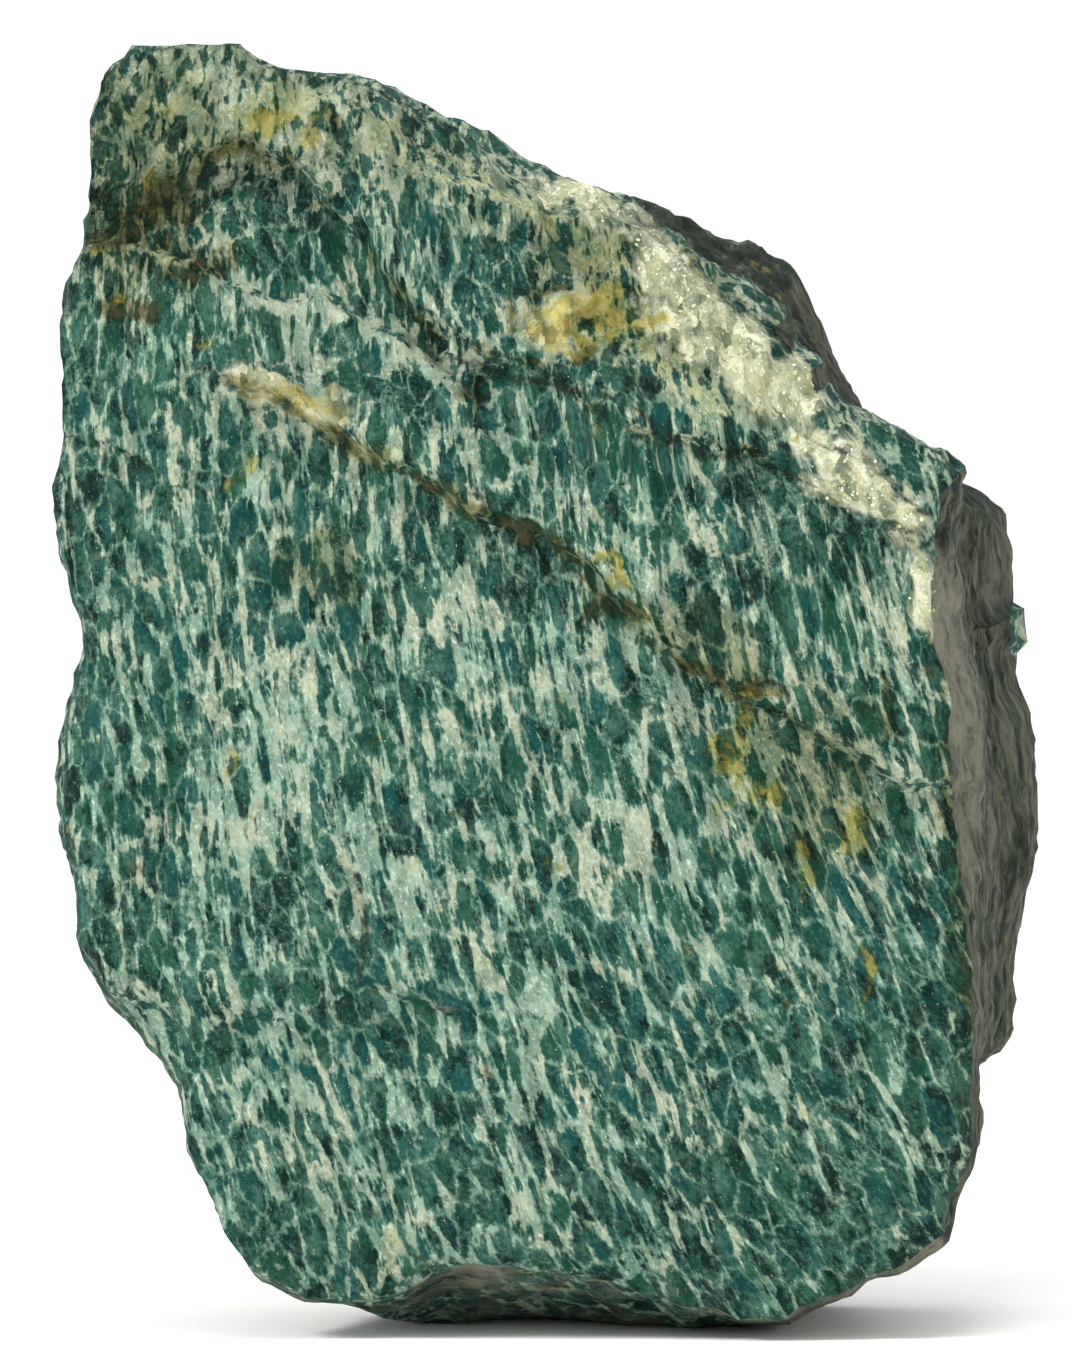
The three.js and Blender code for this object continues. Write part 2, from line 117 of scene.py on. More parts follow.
# Outline where the walls meet the broken back, clockwise from the top.
BACK_RIM = [
    (8.9, 89), (21.9, 82.6), (28.3, 71.5), (33.4, 60.3), (33, 43.7), (31.1, 30.7), (23.7, 15.9), (8.9, 7.6),
    (-5.9, 8.5), (-19.8, 15.9), (-28.2, 30.7), (-31.9, 47.4), (-30.9, 67.7), (-28.2, 84.4), (-19.8, 96.5),
    (-5.9, 97.4),
]

# Scarps on the face: the line, how far its left side stands proud and over what reach, how far its right side
# is sunk and over what reach, half the width of the slope between them, how much dirt and painted shade lie on
# the slope, and how strong a painted highlight its upper edge gets.
FACE_SCARPS = [
    ([(-26.4, 81.7), (-20.8, 78.9), (-12.3, 74.5), (-2.1, 69.6), (4.7, 65.1), (8.1, 61.7), (16.2, 55.7),
      (26, 50.6), (35.4, 46.4)], 1.5, 15, 1.3, 7, 0.8, 0.9, 0.2),  # long diagonal fracture
    ([(-6, 79.6), (-7.1, 82), (-11.2, 84.9), (-15.3, 87.3), (-18.3, 88.7), (-22, 88.5), (-24.7, 89.9)],
     1.1, 9, 0.7, 6, 0.6, 0, 1),  # arched edge under the upper recess
    ([(-5.9, 85.2), (0.4, 81.7), (5.5, 79.7), (10, 76.8), (19.9, 75.3), (22.4, 73.9), (27.4, 70.7)],
     1, 16, 0.6, 5, 0.7, 0.5, 0.2),  # foot of the quartz vein
    ([(-43, 94.5), (-39.2, 96.6), (-35.9, 99), (-27.8, 101.1), (-25.1, 102.5), (-22.2, 101.1),
      (-16.8, 96.7), (-13.6, 91.5), (-9.8, 86)], 1.4, 16, 3, 6, 1.3, 0.7, 0.5),  # roof of the upper recess
    ([(-28.5, 91.5), (-32.8, 94), (-37.4, 94.3), (-42, 93.6)], 1.4, 8, 0.6, 4, 0.6, 0.8, 0.8),  # ledge by the notch
    ([(-38.5, 30.4), (-29.4, 28.3), (-20.8, 27.5), (-17, 29.1), (-10.6, 28.5)],
     1.2, 12, 1, 14, 2, 0, 0.1),  # brow over the lower left flank
    ([(-42.5, 77.2), (-37, 76.5), (-33.6, 74.5)], 0.7, 6, 0.6, 4, 0.6, 0.5, 0.2),  # small ledge, left edge
]
BACK_SCARPS = [
    ([(-34, 48), (-14, 42), (6, 50), (22, 38), (36, 40)], 1.4, 18, 0.6, 8, 1.2, 0, 0),
    ([(-6, 98), (-2, 78), (-10, 62), (-6, 46)], 1, 12, 0.5, 8, 1.2, 0, 0),
]

# The quartz vein stands out of the face as a lumpy ridge.
VEIN = [(-18.3, 106), (-12.3, 101.8), (-8.1, 98.4), (-2.1, 97.5), (4.7, 97.5), (9.8, 94.1), (14.1, 89.8),
        (19.2, 85.1), (22.6, 81.7), (25.2, 76.2), (29.4, 72.8), (32.4, 68.5), (33.5, 61.7)]
VEIN_HALF_WIDTH, VEIN_RISE = 4.5, 1.2
VEIN_LUMPS, VEIN_LUMP_SCALE = 0.6, 5

# The back is the nearest of these broken planes: depth at its centre, slope in x, slope in z.
BACK_CENTRE_X, BACK_CENTRE_Z = 2, 56
BACK_PLANES = [(28.5, -0.1, -0.05), (30.5, -0.42, 0.1), (31, 0.34, -0.16), (32.5, 0.06, -0.4),
               (33, -0.08, 0.42)]

# Facets and ledges of the broken stone: size, height, and the noise's salt.
BROKEN_FACETS = [(15, 1.7, 1), (6.5, 0.6, 2)]
LEDGE_PITCH, LEDGE_RELIEF, LEDGE_RISER = 7.5, 1.2, 0.3
LAYER_SLANT, LAYER_WAVE, LAYER_WAVE_SCALE, LAYER_WAVE_HEIGHT = 0.35, 0.9, 18, 30
BROKEN_SHARE_ON_FACE = 0.22  # share of the facets' height that shows on the face
INWARD_BIAS = 0.5  # on the walls, facets and ledges cut in more than they stand out
OUTLINE_HOLD, OUTLINE_SHARE = 4, 0.1  # within this many rows of an outline, relief sinks to this share

# ---- What only this finer model has ----

# Sideways wander of finer lines: reach, size, level and salt of each step.
FINE_SCARP_WANDER = [(0.35, 1.7, 1, 21)]
CRACK_WANDER = [(0.3, 1.5, 3, 23)]
PATCH_WANDER = [(1.3, 2.8, 0, 41), (0.6, 1.1, 0, 43)]

# Facets by height, size and salt. The cleavage terraces have two levels of them, each with the height of a step
# and the share of it that its riser takes.
TERRACES = [([(2.2, 8, 25), (1.2, 3.4, 26)], 0.42, 0.12), ([(2.4, 2.1, 36), (1.2, 1.1, 37)], 0.13, 0.2)]
TERRACE_STRETCH = 3.5  # how much longer a terrace is than wide
BROAD_FACETS = [(0.55, 15, 38)]
PITTING_EVERYWHERE, PITTING_WHERE_ROUGH = 0.08, 0.35
QUARTZ_LUMPS = [(1.2, 3.6, 29), (0.6, 1.6, 30)]
EDGE_NICKS = [(0.28, 2.3, 51), (0.16, 0.9, 52)]
THIN_LAYER_PITCH, THIN_LAYER_RELIEF = 2.1, 0.35
LONG_CHIPS = [(0.45, 3.4, 33)]
CRUMBS = [(0.2, 1.5, 34)]

# The stringers lean to the left as they rise, more so on the right of the face, and bend a little.
GRAIN_CENTRE_Z, GRAIN_LEAN, GRAIN_LEAN_PER_MM, GRAIN_BEND = 56, 0.2, 0.003, 0.0013

# The skin of weathering: its share everywhere on the broken sides, and what each side adds.
LEAST_SKIN, SKIN_ON_RIGHT, SKIN_ON_BACK, SKIN_ON_TOP, SKIN_UNDER = 0.25, 0.75, 0.3, 0.7, 0.3

# Cracks on the face: the line, depth and half-width of the groove. Dark lines of painted shade follow them.
CRACKS = [
    ([(-10.6, 84.6), (-0.5, 81.9), (6.9, 80.2), (10.9, 76.9), (14.3, 75.5), (18, 75.5), (21.8, 73.8),
      (26.4, 71.1), (31.5, 69.1)], 0.35, 0.35),  # along the foot of the vein
    ([(-26.8, 102.5), (-24.1, 101.8), (-21.7, 99.9), (-19.1, 98.5), (-17, 97.2), (-16.4, 94.1)], 0.5, 0.4),
    ([(-39.8, 94.5), (-36.6, 93.4), (-33, 93.8), (-32.1, 94.8)], 0.5, 0.4),  # in the notch
    ([(-40, 62.4), (-37, 61.9), (-32.8, 61.5)], 0.25, 0.25),
    ([(-17, 29.3), (-15.6, 32.7), (-15.6, 36.2), (-16.2, 39.6)], 0.4, 0.4),
    ([(21.3, 77.7), (26, 75.8), (29.4, 73.6), (32.8, 70.2)], 0.35, 0.35),  # between quartz and feldspar
    ([(30.3, 68.5), (33.3, 68.1), (35.4, 66.8)], 0.3, 0.3),
    ([(16.2, 55.8), (17.5, 55.9), (18.8, 56.6), (20.1, 56.2), (20.6, 54.9), (20.4, 53.2), (19.6, 52.3)],
     0.45, 0.3),  # round a small flap under the diagonal fracture
    ([(-6, 82.3), (-5.5, 80.8), (-5.9, 79.2)], 1, 0.35),  # pit at the foot of the arched edge
    ([(-25.5, 101.6), (-29.6, 97.6), (-33.5, 92.6)], 0.5, 0.4),  # three on the slope of the upper recess
    ([(-27.5, 101.4), (-32.4, 98.2), (-37, 96.2)], 0.4, 0.4),
    ([(-29.8, 100.9), (-34, 99.1), (-39, 98.2)], 0.4, 0.35),
    ([(-17, 76.6), (-10.6, 74.5), (-3.9, 71.1), (1.1, 69.1), (4.5, 66.7), (11.3, 60), (16, 56)], 0.45, 0.45),
]
USUAL_HALF_WIDTH = 0.35

# Soft patches on the face: x, z, half-width, half-height, and turn in degrees, clockwise.
PATCHES = {
    "quartz": [
        (3, 98, 5, 2.2, 25), (10.3, 92.6, 4.4, 2.2, 45), (12.4, 86.8, 4.8, 2.8, 38), (16, 84.6, 5, 3, 35),
        (20.6, 81.8, 4, 2.7, 30), (26, 73.8, 5, 2.1, 38), (31.3, 70.7, 2.4, 1.7, 45), (32.8, 64.3, 4.5, 1.2, 80),
        (-24.7, 80.9, 2.4, 1.9, 20), (-20.4, 80, 3.1, 1.6, 8), (0.8, 87.3, 3.2, 2, 0), (-19.1, 102.6, 1, 1.9, 0),
    ],
    "butter": [  # soft yellowish albite, mostly round the vein
        (-6.5, 98.6, 5, 2.6, 30), (0.5, 95.8, 4.5, 2.2, 15), (5, 91, 5.5, 2.6, 20), (3, 87.3, 6, 2.5, 0),
        (12, 90, 3, 5, 35), (18, 82, 5, 3.5, 40), (10.5, 84.5, 4, 2.5, 20), (-12.5, 102.8, 4, 1.8, 45),
        (-28, 103.5, 4, 2.4, 0), (-34, 104, 2.5, 2, 0), (24, 77, 5, 2, 38), (15.4, 51, 1, 5, 8),
        (18, 51, 0.9, 4, 8), (25.5, 44.5, 1, 3.5, 15), (21, 41, 0.9, 3, 12), (6, 66.5, 3.5, 0.7, 32),
        (30, 72, 4, 1.6, 40), (-24, 106.5, 4, 2, 0), (-13, 7, 3, 4, 10), (20.5, 17, 2, 7, 12), (13, 81, 6, 3, 35),
    ],
    "ochre": [  # rust
        (-24.3, 105.3, 2.2, 2.6, 0), (-20, 103.9, 1.6, 1.4, 0), (-33.6, 99, 2.4, 0.5, -15), (4.2, 87.6, 3.2, 2, 0),
        (8.4, 87.6, 1.8, 1, 0), (0.8, 87, 2.6, 1.6, 0), (-20.8, 80.3, 3.1, 1.4, 0), (15.4, 51, 1.3, 5, 8),
        (25.5, 43.5, 1.4, 3, 15), (21.2, 40.5, 1.4, 2.4, 10), (18.6, 46.5, 1.1, 2, 0), (6, 66.3, 2.4, 0.6, 32),
        (27.1, 32.3, 0.7, 3.5, -10), (-27.2, 49.6, 0.7, 1, 0), (-14.5, 50.6, 0.7, 1.2, 0), (0, 40.2, 0.7, 0.7, 0),
        (-38.3, 92.8, 0.6, 0.8, 0), (-35.3, 89.8, 1, 0.5, 10), (1.3, 69, 1, 0.9, 0), (16.2, 55.8, 1.2, 0.7, 30),
        (17.1, 47.2, 1, 1, 0), (-29.4, 85.2, 0.9, 1, 0), (-26, 74.5, 0.7, 1.7, 0), (9.4, 87.7, 1, 0.9, 0),
        (2.8, 85, 1.8, 0.7, 0),
    ],
    "brown": [  # dirt in the fractures
        (-33.6, 96.8, 3.7, 2.4, -25), (-30.2, 92.2, 3.5, 1.2, 0), (-37, 94.1, 2.6, 1.9, 0),
        (-28.8, 101.6, 2, 0.6, -20), (5.6, 63.4, 3.4, 1.5, 35), (-3.8, 70, 6.1, 0.8, 25),
        (-1.4, 89.6, 2, 0.5, -20), (-3, 86.8, 0.5, 1.7, 0), (3, 86.9, 0.5, 1.8, 0), (2.6, 84.6, 1.8, 0.5, 0),
        (-9.8, 73, 3.9, 0.7, 20), (-35.3, 89, 3.5, 1, 5), (13.2, 58.3, 2.6, 0.7, 35), (-15.7, 76.2, 3.5, 0.9, 20),
        (17.9, 56.2, 2.6, 0.9, 15), (28.6, 54.9, 0.9, 2.6, 0), (-5.5, 80.5, 0.7, 1.6, 0),
    ],
    "deep": [  # dark, clear cells; the first is painted shadow under the overhang of the upper recess
        (-24.1, 100.1, 2.6, 1.5, 5), (26, 70.4, 1.9, 2.3, 0), (-23.8, 94.5, 1.6, 3.5, -10), (-18.3, 86, 1.7, 1.2, 0),
        (14.5, 64.3, 2.6, 3.7, -12), (-30.6, 92, 1.7, 1.6, 0), (-31.9, 102.6, 2.3, 1.7, 0), (8.1, 55.8, 2.5, 2, 20),
        (-22.6, 37.9, 2.6, 2.6, 0), (-13.2, 43.8, 1.9, 1.9, 0), (15.4, 72.8, 2.1, 1.4, 0), (0, 82.6, 2.1, 1.4, 0),
        (-10.6, 79.6, 2.3, 1.2, 0), (8.1, 81.7, 2.6, 1.4, 10), (-2.1, 66.7, 4.3, 3.7, 0),
    ],
    "dim": [  # broad parts with less albite; the third and the last are painted shade below the upper recess's roof
        (12, 76, 13, 4, 15), (25, 68, 7, 3.5, 0), (-9, 93, 6, 3, -40), (-4, 67, 8, 2.5, 28),
        (-20.5, 97, 5.5, 3.5, 35),
    ],
    "pale": [  # more albite; the one along the arched edge, at x -11, is a painted highlight on its crest
        (0.5, 58.7, 9.1, 3.7, 12), (-5.5, 61.7, 3.5, 2.2, 0), (-9.5, 61, 3.5, 4, 0), (-11, 84.4, 4, 0.9, 35),
        (13.5, 62, 4, 1.2, 38), (8, 66, 4, 1.2, 35), (-20.8, 54.9, 5.2, 5.2, 0), (-13, 103, 7, 1.8, 42),
        (-5, 98, 5, 2, 35), (-26, 46.4, 5.2, 5.2, 0), (6.4, 43.8, 5.2, 3.5, 0), (-29, 105, 9, 6, 10),
        (-19, 104.5, 5, 3, 25), (15, 81.5, 5, 3, 35),
    ],
    "warm": [  # weathering that tints the grain
        (-35, 94, 6, 5, 0), (14, 60, 7, 3, 30), (22, 48, 7, 9, 0), (-20, 66, 4, 4, 0), (-33, 105, 6, 6, 0),
        (8, 90, 14, 7, 25), (-37.5, 103, 3, 8, 0),
    ],
    "rough": [  # pitted and rubbed
        (-32.5, 104, 6, 7, 0), (-33.6, 96.8, 5, 3, -20), (-3, 97, 12, 4, 15), (18, 85, 10, 5, 38),
        (30, 70, 6, 4, 45), (1.3, 86.9, 5, 3, 5), (8, 62, 7, 2, 35), (-22, 80.5, 5, 2.5, 10),
    ],
}
# Parts of the face where the cells and stringers are drawn out long, and how much of their length is pulled out.
# Below 0 they are pushed together instead.
LONG_PATCHES = [((-15, 91, 11, 8, 0), 0.65), ((22, 63, 11, 9, 0), 0.3), ((14, 40, 9, 11, 0), 0.2),
                ((7, 88, 12, 9, 20), -0.5)]

# ---- The studio, in metres ----

STONE_MIDDLE = (0, 0, 0.055)
LAMPS = {  # place, aim, width, and spread in degrees
    "key": ((-0.95, -0.5, 0.85), STONE_MIDDLE, 0.3, 180),
    "fill": ((0.3, -1, 0.1), STONE_MIDDLE, 0.6, 180),
    "top": ((0.1, 0.25, 1.1), STONE_MIDDLE, 0.6, 180),
    "on_floor": ((0, -0.22, 0.45), (0, -0.2, 0), 0.2, 50),
}
FLOOR_RADIUS, FLOOR_SIDES = 4, 64
CAMERA_PLACE = (-0.0022, -0.6172, 0.0562)
LENS, SENSOR_WIDTH = 181.4, 36  # millimetres


def linear(hex_colour):
    """A #rrggbb colour as linear red, green, blue and alpha."""
    parts = [int(hex_colour[n:n + 2], 16) / 255 for n in (1, 3, 5)]
    return tuple(c / 12.92 if c <= 0.04045 else ((c + 0.055) / 1.055) ** 2.4 for c in parts) + (1.0,)


# ---- Sizes and colours that a user would change ----

def colour(name, description, hex_colour):
    return bpy.props.FloatVectorProperty(
        name=name, description=description, subtype="COLOR", size=4, min=0, max=1, default=linear(hex_colour))


def length(name, description, millimetres):
    return bpy.props.FloatProperty(
        name=name, description=description, unit="LENGTH", min=0, precision=5, default=millimetres * MM)


def power(name, description, watts):
    return bpy.props.FloatProperty(name=name, description=description, unit="POWER", min=0, default=watts)


class StoneSizes(bpy.types.PropertyGroup):
    squares_across: bpy.props.IntProperty(
        name="Squares across", description="Squares across the face, a multiple of 4", min=4, default=176)
    squares_up: bpy.props.IntProperty(
        name="Squares up", description="Squares up the face, a multiple of 4", min=4, default=232)
    wall_rows: bpy.props.IntProperty(
        name="Wall rows", description="Rows of squares from the face to the back", min=6, default=94)
    cell_width: length("Cell width", "Width of the green cells across the stringers", 2.0)
    cell_length: length("Cell length", "Length of the green cells along the stringers", 4.2)
    chip_size: length("Chip size", "Size of the small chips on broken stone", 2.4)
    chip_relief: length("Chip relief", "Height of the small chips on broken stone", 0.5)
    quartz_grain: length("Quartz grain", "Size of the grains on the quartz vein", 0.36)
    quartz_density: bpy.props.FloatProperty(
        name="Quartz grains", description="Grains on each square metre of quartz", min=0, default=1.6e6)


class StoneColours(bpy.types.PropertyGroup):
    teal: colour("Teal", "Most of the feldspar's cells", "#0f3b31")
    green: colour("Green", "Greener cells", "#174333")
    blue: colour("Blue", "Bluer cells", "#0c3f3e")
    # Also laid as painted shade below the upper recess's roof.
    deep: colour("Deep", "Darkest, clearest cells", "#031713")
    cloud: colour("Cloud", "Cloudy parts of the cells", "#496e5f")
    pale_green: colour("Pale green", "Greenish albite", "#7d9a88")
    cream: colour("Cream", "Albite stringers", "#a2a98f")
    butter: colour("Butter", "Yellowish albite round the quartz", "#a6aa80")
    white: colour("White", "Fresh albite", "#c2d1bf")
    ochre: colour("Ochre", "Rust in the fractures", "#a3974c")
    stain: colour("Stain", "Iron stain that lets the grain show through", "#f4e6b0")
    brown: colour("Brown", "Dirt in the fractures", "#433d29")
    quartz: colour("Quartz", "Milky quartz", "#abac8a")
    glassy: colour("Glassy", "Clearer quartz", "#66735f")
    # Also the colour of the painted glints on the feldspar.
    frost: colour("Frost", "Sugary quartz", "#d3d4b9")
    # Painted glints on the quartz grains.
    glint: colour("Glint", "Brightest grains of quartz", "#eef0e4")
    wall: colour("Wall", "Weathered broken stone", "#5c5e50")
    wall_dark: colour("Wall, dark", "Dark streaks on the broken stone", "#20261f")
    wall_green: colour("Wall, greenish", "Broken stone with less skin", "#2c3a31")
    beige: colour("Beige", "Pale band beside the cleavage face", "#7c7a69")
    dust: colour("Dust", "Pale streaks on the broken stone", "#77725f")
    olive: colour("Olive", "Weathering that lets the grain show through", "#c6bd9e")


class StageSettings(bpy.types.PropertyGroup):
    floor: colour("Floor", "Pale floor and backdrop", "#f7f7f5")
    key_power: power("Key power", "Power of the main light", 12)
    fill_power: power("Fill power", "Power of the fill light", 0.4)
    top_power: power("Top power", "Power of the top light", 1.5)
    on_floor_power: power("Floor light power", "Power of the light on the floor in front", 0.4)
    sky: bpy.props.FloatProperty(
        name="Sky", description="Strength of the even light all round", min=0, default=1.08)


# ---- Noise on a lattice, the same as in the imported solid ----

def smoothstep(value, low, high):
    t = np.clip((value - low) / (high - low), 0, 1)
    return t * t * (3 - 2 * t)


def band(value, low, low_full, high_full, high):
    """Rises from 0 to 1 between the first two limits, and falls back to 0 between the last two."""
    return smoothstep(value, low, low_full) * (1 - smoothstep(value, high_full, high))


def random_at(i, j, k, salt):
    s = np.sin(i * 127.1 + j * 311.7 + k * 74.7 + salt * 53.3) * 43758.5453
    return s - np.floor(s)


def noise(x, y, z, salt):
    """Smooth noise from -1 to 1."""
    x, y, z = np.broadcast_arrays(x, y, z)
    cells = [np.floor(v) for v in (x, y, z)]
    fades = [smoothstep(v - cell, 0, 1) for v, cell in zip((x, y, z), cells)]
    total = 0
    for corner in range(8):
        offset = (corner & 1, (corner >> 1) & 1, corner >> 2)
        weight = 1
        for o, fade in zip(offset, fades):
            weight = weight * (fade if o else 1 - fade)
        total = total + weight * random_at(*[cell + o for cell, o in zip(cells, offset)], salt)
    return 2 * total - 1


def facets(p, size, salt):
    """Noise from -1 to 1 that is flat within each tetrahedron of a turned lattice."""
    turned = np.array([[0.82, 0.41, -0.4], [-0.57, 0.55, -0.61], [-0.03, 0.73, 0.68]]) @ p / size
    corner = np.floor(turned)
    in_cell = turned - corner
    order = np.argsort(-in_cell, axis=0, kind="stable")
    sides = np.take_along_axis(in_cell, order, axis=0)
    column = np.arange(p.shape[1])
    height = (1 - sides[0]) * random_at(*corner, salt)
    for step in range(3):
        corner[order[step], column] += 1
        ahead = sides[step + 1] if step < 2 else 0
        height = height + (sides[step] - ahead) * random_at(*corner, salt)
    return 2 * height - 1


def mixed_facets(p, parts):
    """The sum of facets of several heights, sizes and salts."""
    return sum(height * facets(p, size, salt) for height, size, salt in parts)


def wandered(x, z, steps):
    """A place on the face, moved sideways by steps of noise."""
    moved_x, moved_z = x, z
    for reach, size, level, salt in steps:
        moved_x = moved_x + reach * noise(x / size, level, z / size, salt)
        moved_z = moved_z + reach * noise(x / size, level + 5, z / size, salt + 1)
    return moved_x, moved_z


def ledges(t):
    """A saw-tooth of flat treads and steep risers, from -0.5 to 0.5."""
    in_step = t - np.floor(t)
    riser = smoothstep(in_step, 1 - LEDGE_RISER, 1) - 0.5
    return np.where(in_step < 1 - LEDGE_RISER, 0.5 - in_step / (1 - LEDGE_RISER), riser)


def terraces(t, riser):
    """Rises by one at each whole number, and is flat between."""
    return np.floor(t) + smoothstep(t - np.floor(t), 1 - riser, 1)


# ---- Lines and outlines ----

def leave(outline, dx, dz):
    """How far from the centre each ray leaves a closed outline, and the outline's third value there."""
    distance = np.full(dx.shape, np.inf)
    value = np.zeros(dx.shape)
    for a, b in zip(outline, outline[1:] + outline[:1]):
        ax, az = a[0] - CENTRE_X, a[1] - CENTRE_Z
        ex, ez = b[0] - a[0], b[1] - a[1]
        det = dx * ez - dz * ex
        det = np.where(np.abs(det) < 1e-12, 1e-12, det)
        out = (ax * ez - az * ex) / det
        along = (ax * dz - az * dx) / det
        hit = (out > 0) & (along >= 0) & (along < 1) & (out < distance)
        distance = np.where(hit, out, distance)
        if len(a) > 2:
            value = np.where(hit, a[2] * (1 - along) + b[2] * along, value)
    return distance, value


def from_line(line, x, z):
    """Distance from a line, the side (1 on its left, -1 on its right), and how far past its ends."""
    nearest = np.full(x.shape, np.inf)
    side = np.ones(x.shape)
    past = np.zeros(x.shape)
    for n, ((ax, az), (bx, bz)) in enumerate(zip(line, line[1:])):
        ex, ez = bx - ax, bz - az
        size = math.hypot(ex, ez)
        along = ((x - ax) * ex + (z - az) * ez) / size
        held = np.clip(along, 0, size)
        away = np.hypot(x - ax - held * ex / size, z - az - held * ez / size)
        closer = away < nearest
        nearest = np.where(closer, away, nearest)
        side = np.where(closer, np.where(ex * (z - az) - ez * (x - ax) >= 0, 1, -1), side)
        before = -along if n == 0 else np.zeros(x.shape)
        beyond = along - size if n == len(line) - 2 else np.zeros(x.shape)
        past = np.where(closer, np.maximum(0, np.maximum(before, beyond)), past)
    return nearest, side, past


def patch_field(patches, x, z):
    """1 in the middle of a patch, 0.5 on its edge and 0 at 1.5 times its radius, for the nearest patch."""
    wx, wz = wandered(x, z, PATCH_WANDER)
    field = np.zeros(x.shape)
    for px, pz, rx, rz, turn in patches:
        c, s = math.cos(math.radians(turn)), math.sin(math.radians(turn))
        u = ((wx - px) * c - (wz - pz) * s) / rx
        v = ((wx - px) * s + (wz - pz) * c) / rz
        field = np.maximum(field, np.clip(1.5 - np.hypot(u, v), 0, 1))
    return field


# ---- Heights of the two broad faces ----

def scarps_at(scarps, x, z, fine):
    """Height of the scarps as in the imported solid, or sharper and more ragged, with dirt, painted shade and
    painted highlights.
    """
    wx, wz = wandered(x, z, SCARP_WANDER + FINE_SCARP_WANDER if fine else SCARP_WANDER)
    patchy = smoothstep(noise(x / 3, 9, z / 3, 45), -0.6, 0.4)
    left_of_rim = 1 - smoothstep(x, 16, 28)
    height, dirt_and_shade, crest = np.zeros(x.shape), np.zeros(x.shape), np.zeros(x.shape)
    for line, rise, reach, drop, drop_reach, sharp_half_width, dirt_and_shade_share, pale in scarps:
        half_width = sharp_half_width if fine else SCARP_HALF_WIDTH
        away, side, past = from_line(line, wx, wz)
        up = smoothstep(side * away, -half_width, half_width)
        fade = 1 - smoothstep(past, 0, FADE_PAST_END)
        proud = rise * np.exp(-away / reach)
        sunk = drop * np.exp(-away / drop_reach)
        height = height + fade * (up * proud - (1 - up) * sunk)
        ends = 1 - smoothstep(past, 0, 1.5)
        # The slope gets dirt and painted shade, and the edge above it a painted highlight.
        slope_dirt_and_shade = ends * dirt_and_shade_share * patchy * left_of_rim
        dirt_and_shade = np.maximum(dirt_and_shade, slope_dirt_and_shade * (1 - smoothstep(away, 0.2 * half_width, 1.3 * half_width)))
        above = side * away - half_width
        # Painted highlight: the scarp's upper edge is made paler, as if catching light.
        crest = np.maximum(crest, ends * pale * band(above, -0.5, 0, 0.1, 0.7))
    return height, dirt_and_shade, crest


def vein_height(x, z):
    """Height of the quartz vein's lumpy ridge."""
    away, _, past = from_line(VEIN, x, z)
    ridge = 1 - smoothstep(away, 0, VEIN_HALF_WIDTH)
    lumps = 1 + VEIN_LUMPS * noise(x / VEIN_LUMP_SCALE, 2, z / VEIN_LUMP_SCALE, 13)
    return VEIN_RISE * ridge * lumps * (1 - smoothstep(past, 0, FADE_PAST_END))


def across_grain(x, z):
    """Place across the stringers."""
    up = z - GRAIN_CENTRE_Z
    return x + up * (GRAIN_LEAN + GRAIN_LEAN_PER_MM * x) - GRAIN_BEND * up ** 2


def crack_distance(x, z):
    """Distance to the nearest crack, nearer for a wide one, and the depth of its groove."""
    wx, wz = wandered(x, z, CRACK_WANDER)
    nearest = np.full(x.shape, np.inf)
    groove = np.zeros(x.shape)
    for line, depth, half_width in CRACKS:
        away, _, _ = from_line(line, wx, wz)
        nearest = np.minimum(nearest, away * USUAL_HALF_WIDTH / half_width)
        groove = np.maximum(groove, depth * (1 - smoothstep(away, 0, 2 * half_width)))
    return nearest, groove


def face_detail(x, z):
    """Cleavage terraces that run with the stringers, lumps of quartz, pitting and the cracks' grooves."""
    here = np.stack([x, 0 * x, z])
    grained = np.stack([across_grain(x, z), 0 * x, z / TERRACE_STRETCH])
    steps = sum(rise * terraces(mixed_facets(grained, parts), riser) for parts, rise, riser in TERRACES)
    steps = steps + mixed_facets(here, BROAD_FACETS)
    pitting = PITTING_EVERYWHERE + PITTING_WHERE_ROUGH * patch_field(PATCHES["rough"], x, z)
    pitted = 0.7 * facets(here, 1.5, 27) + 0.7 * noise(x / 0.8, 4, z / 0.8, 28)
    lumps = smoothstep(patch_field(PATCHES["quartz"], x, z), 0.2, 0.7)
    lumps = lumps * (mixed_facets(here, QUARTZ_LUMPS) + 0.5)
    return steps + pitting * pitted + lumps - crack_distance(x, z)[1]


def rim_wear(x, z):
    """How worn the rim is there, 1 on average."""
    return 1 + RIM_WEAR * noise(x / RIM_WEAR_SCALE, 7, z / RIM_WEAR_SCALE, 15)


def face_depth(x, z, share, fine):
    """Depth of the face. Its share goes from 0 in the middle to 1 on the rim."""
    rim = np.maximum(0, (share - 1 + ROUNDED_SHARE) / ROUNDED_SHARE)
    crest = np.maximum(0, z - CREST_START + CREST_FALL * (x + HALF_WIDTH))
    formed = FACE_PLANE + RIM_ROUNDING * rim_wear(x, z) * rim ** 3 + CREST_LEAN * crest
    detail = face_detail(x, z) if fine else 0
    return formed - scarps_at(FACE_SCARPS, x, z, fine)[0] - vein_height(x, z) - detail


def back_depth(x, z, fine):
    """Depth of the broken back."""
    planes = [d + sx * (x - BACK_CENTRE_X) + sz * (z - BACK_CENTRE_Z) for d, sx, sz in BACK_PLANES]
    return np.min(planes, axis=0) + scarps_at(BACK_SCARPS, x, z, fine)[0]


# ---- The grid that is bent to the stone ----

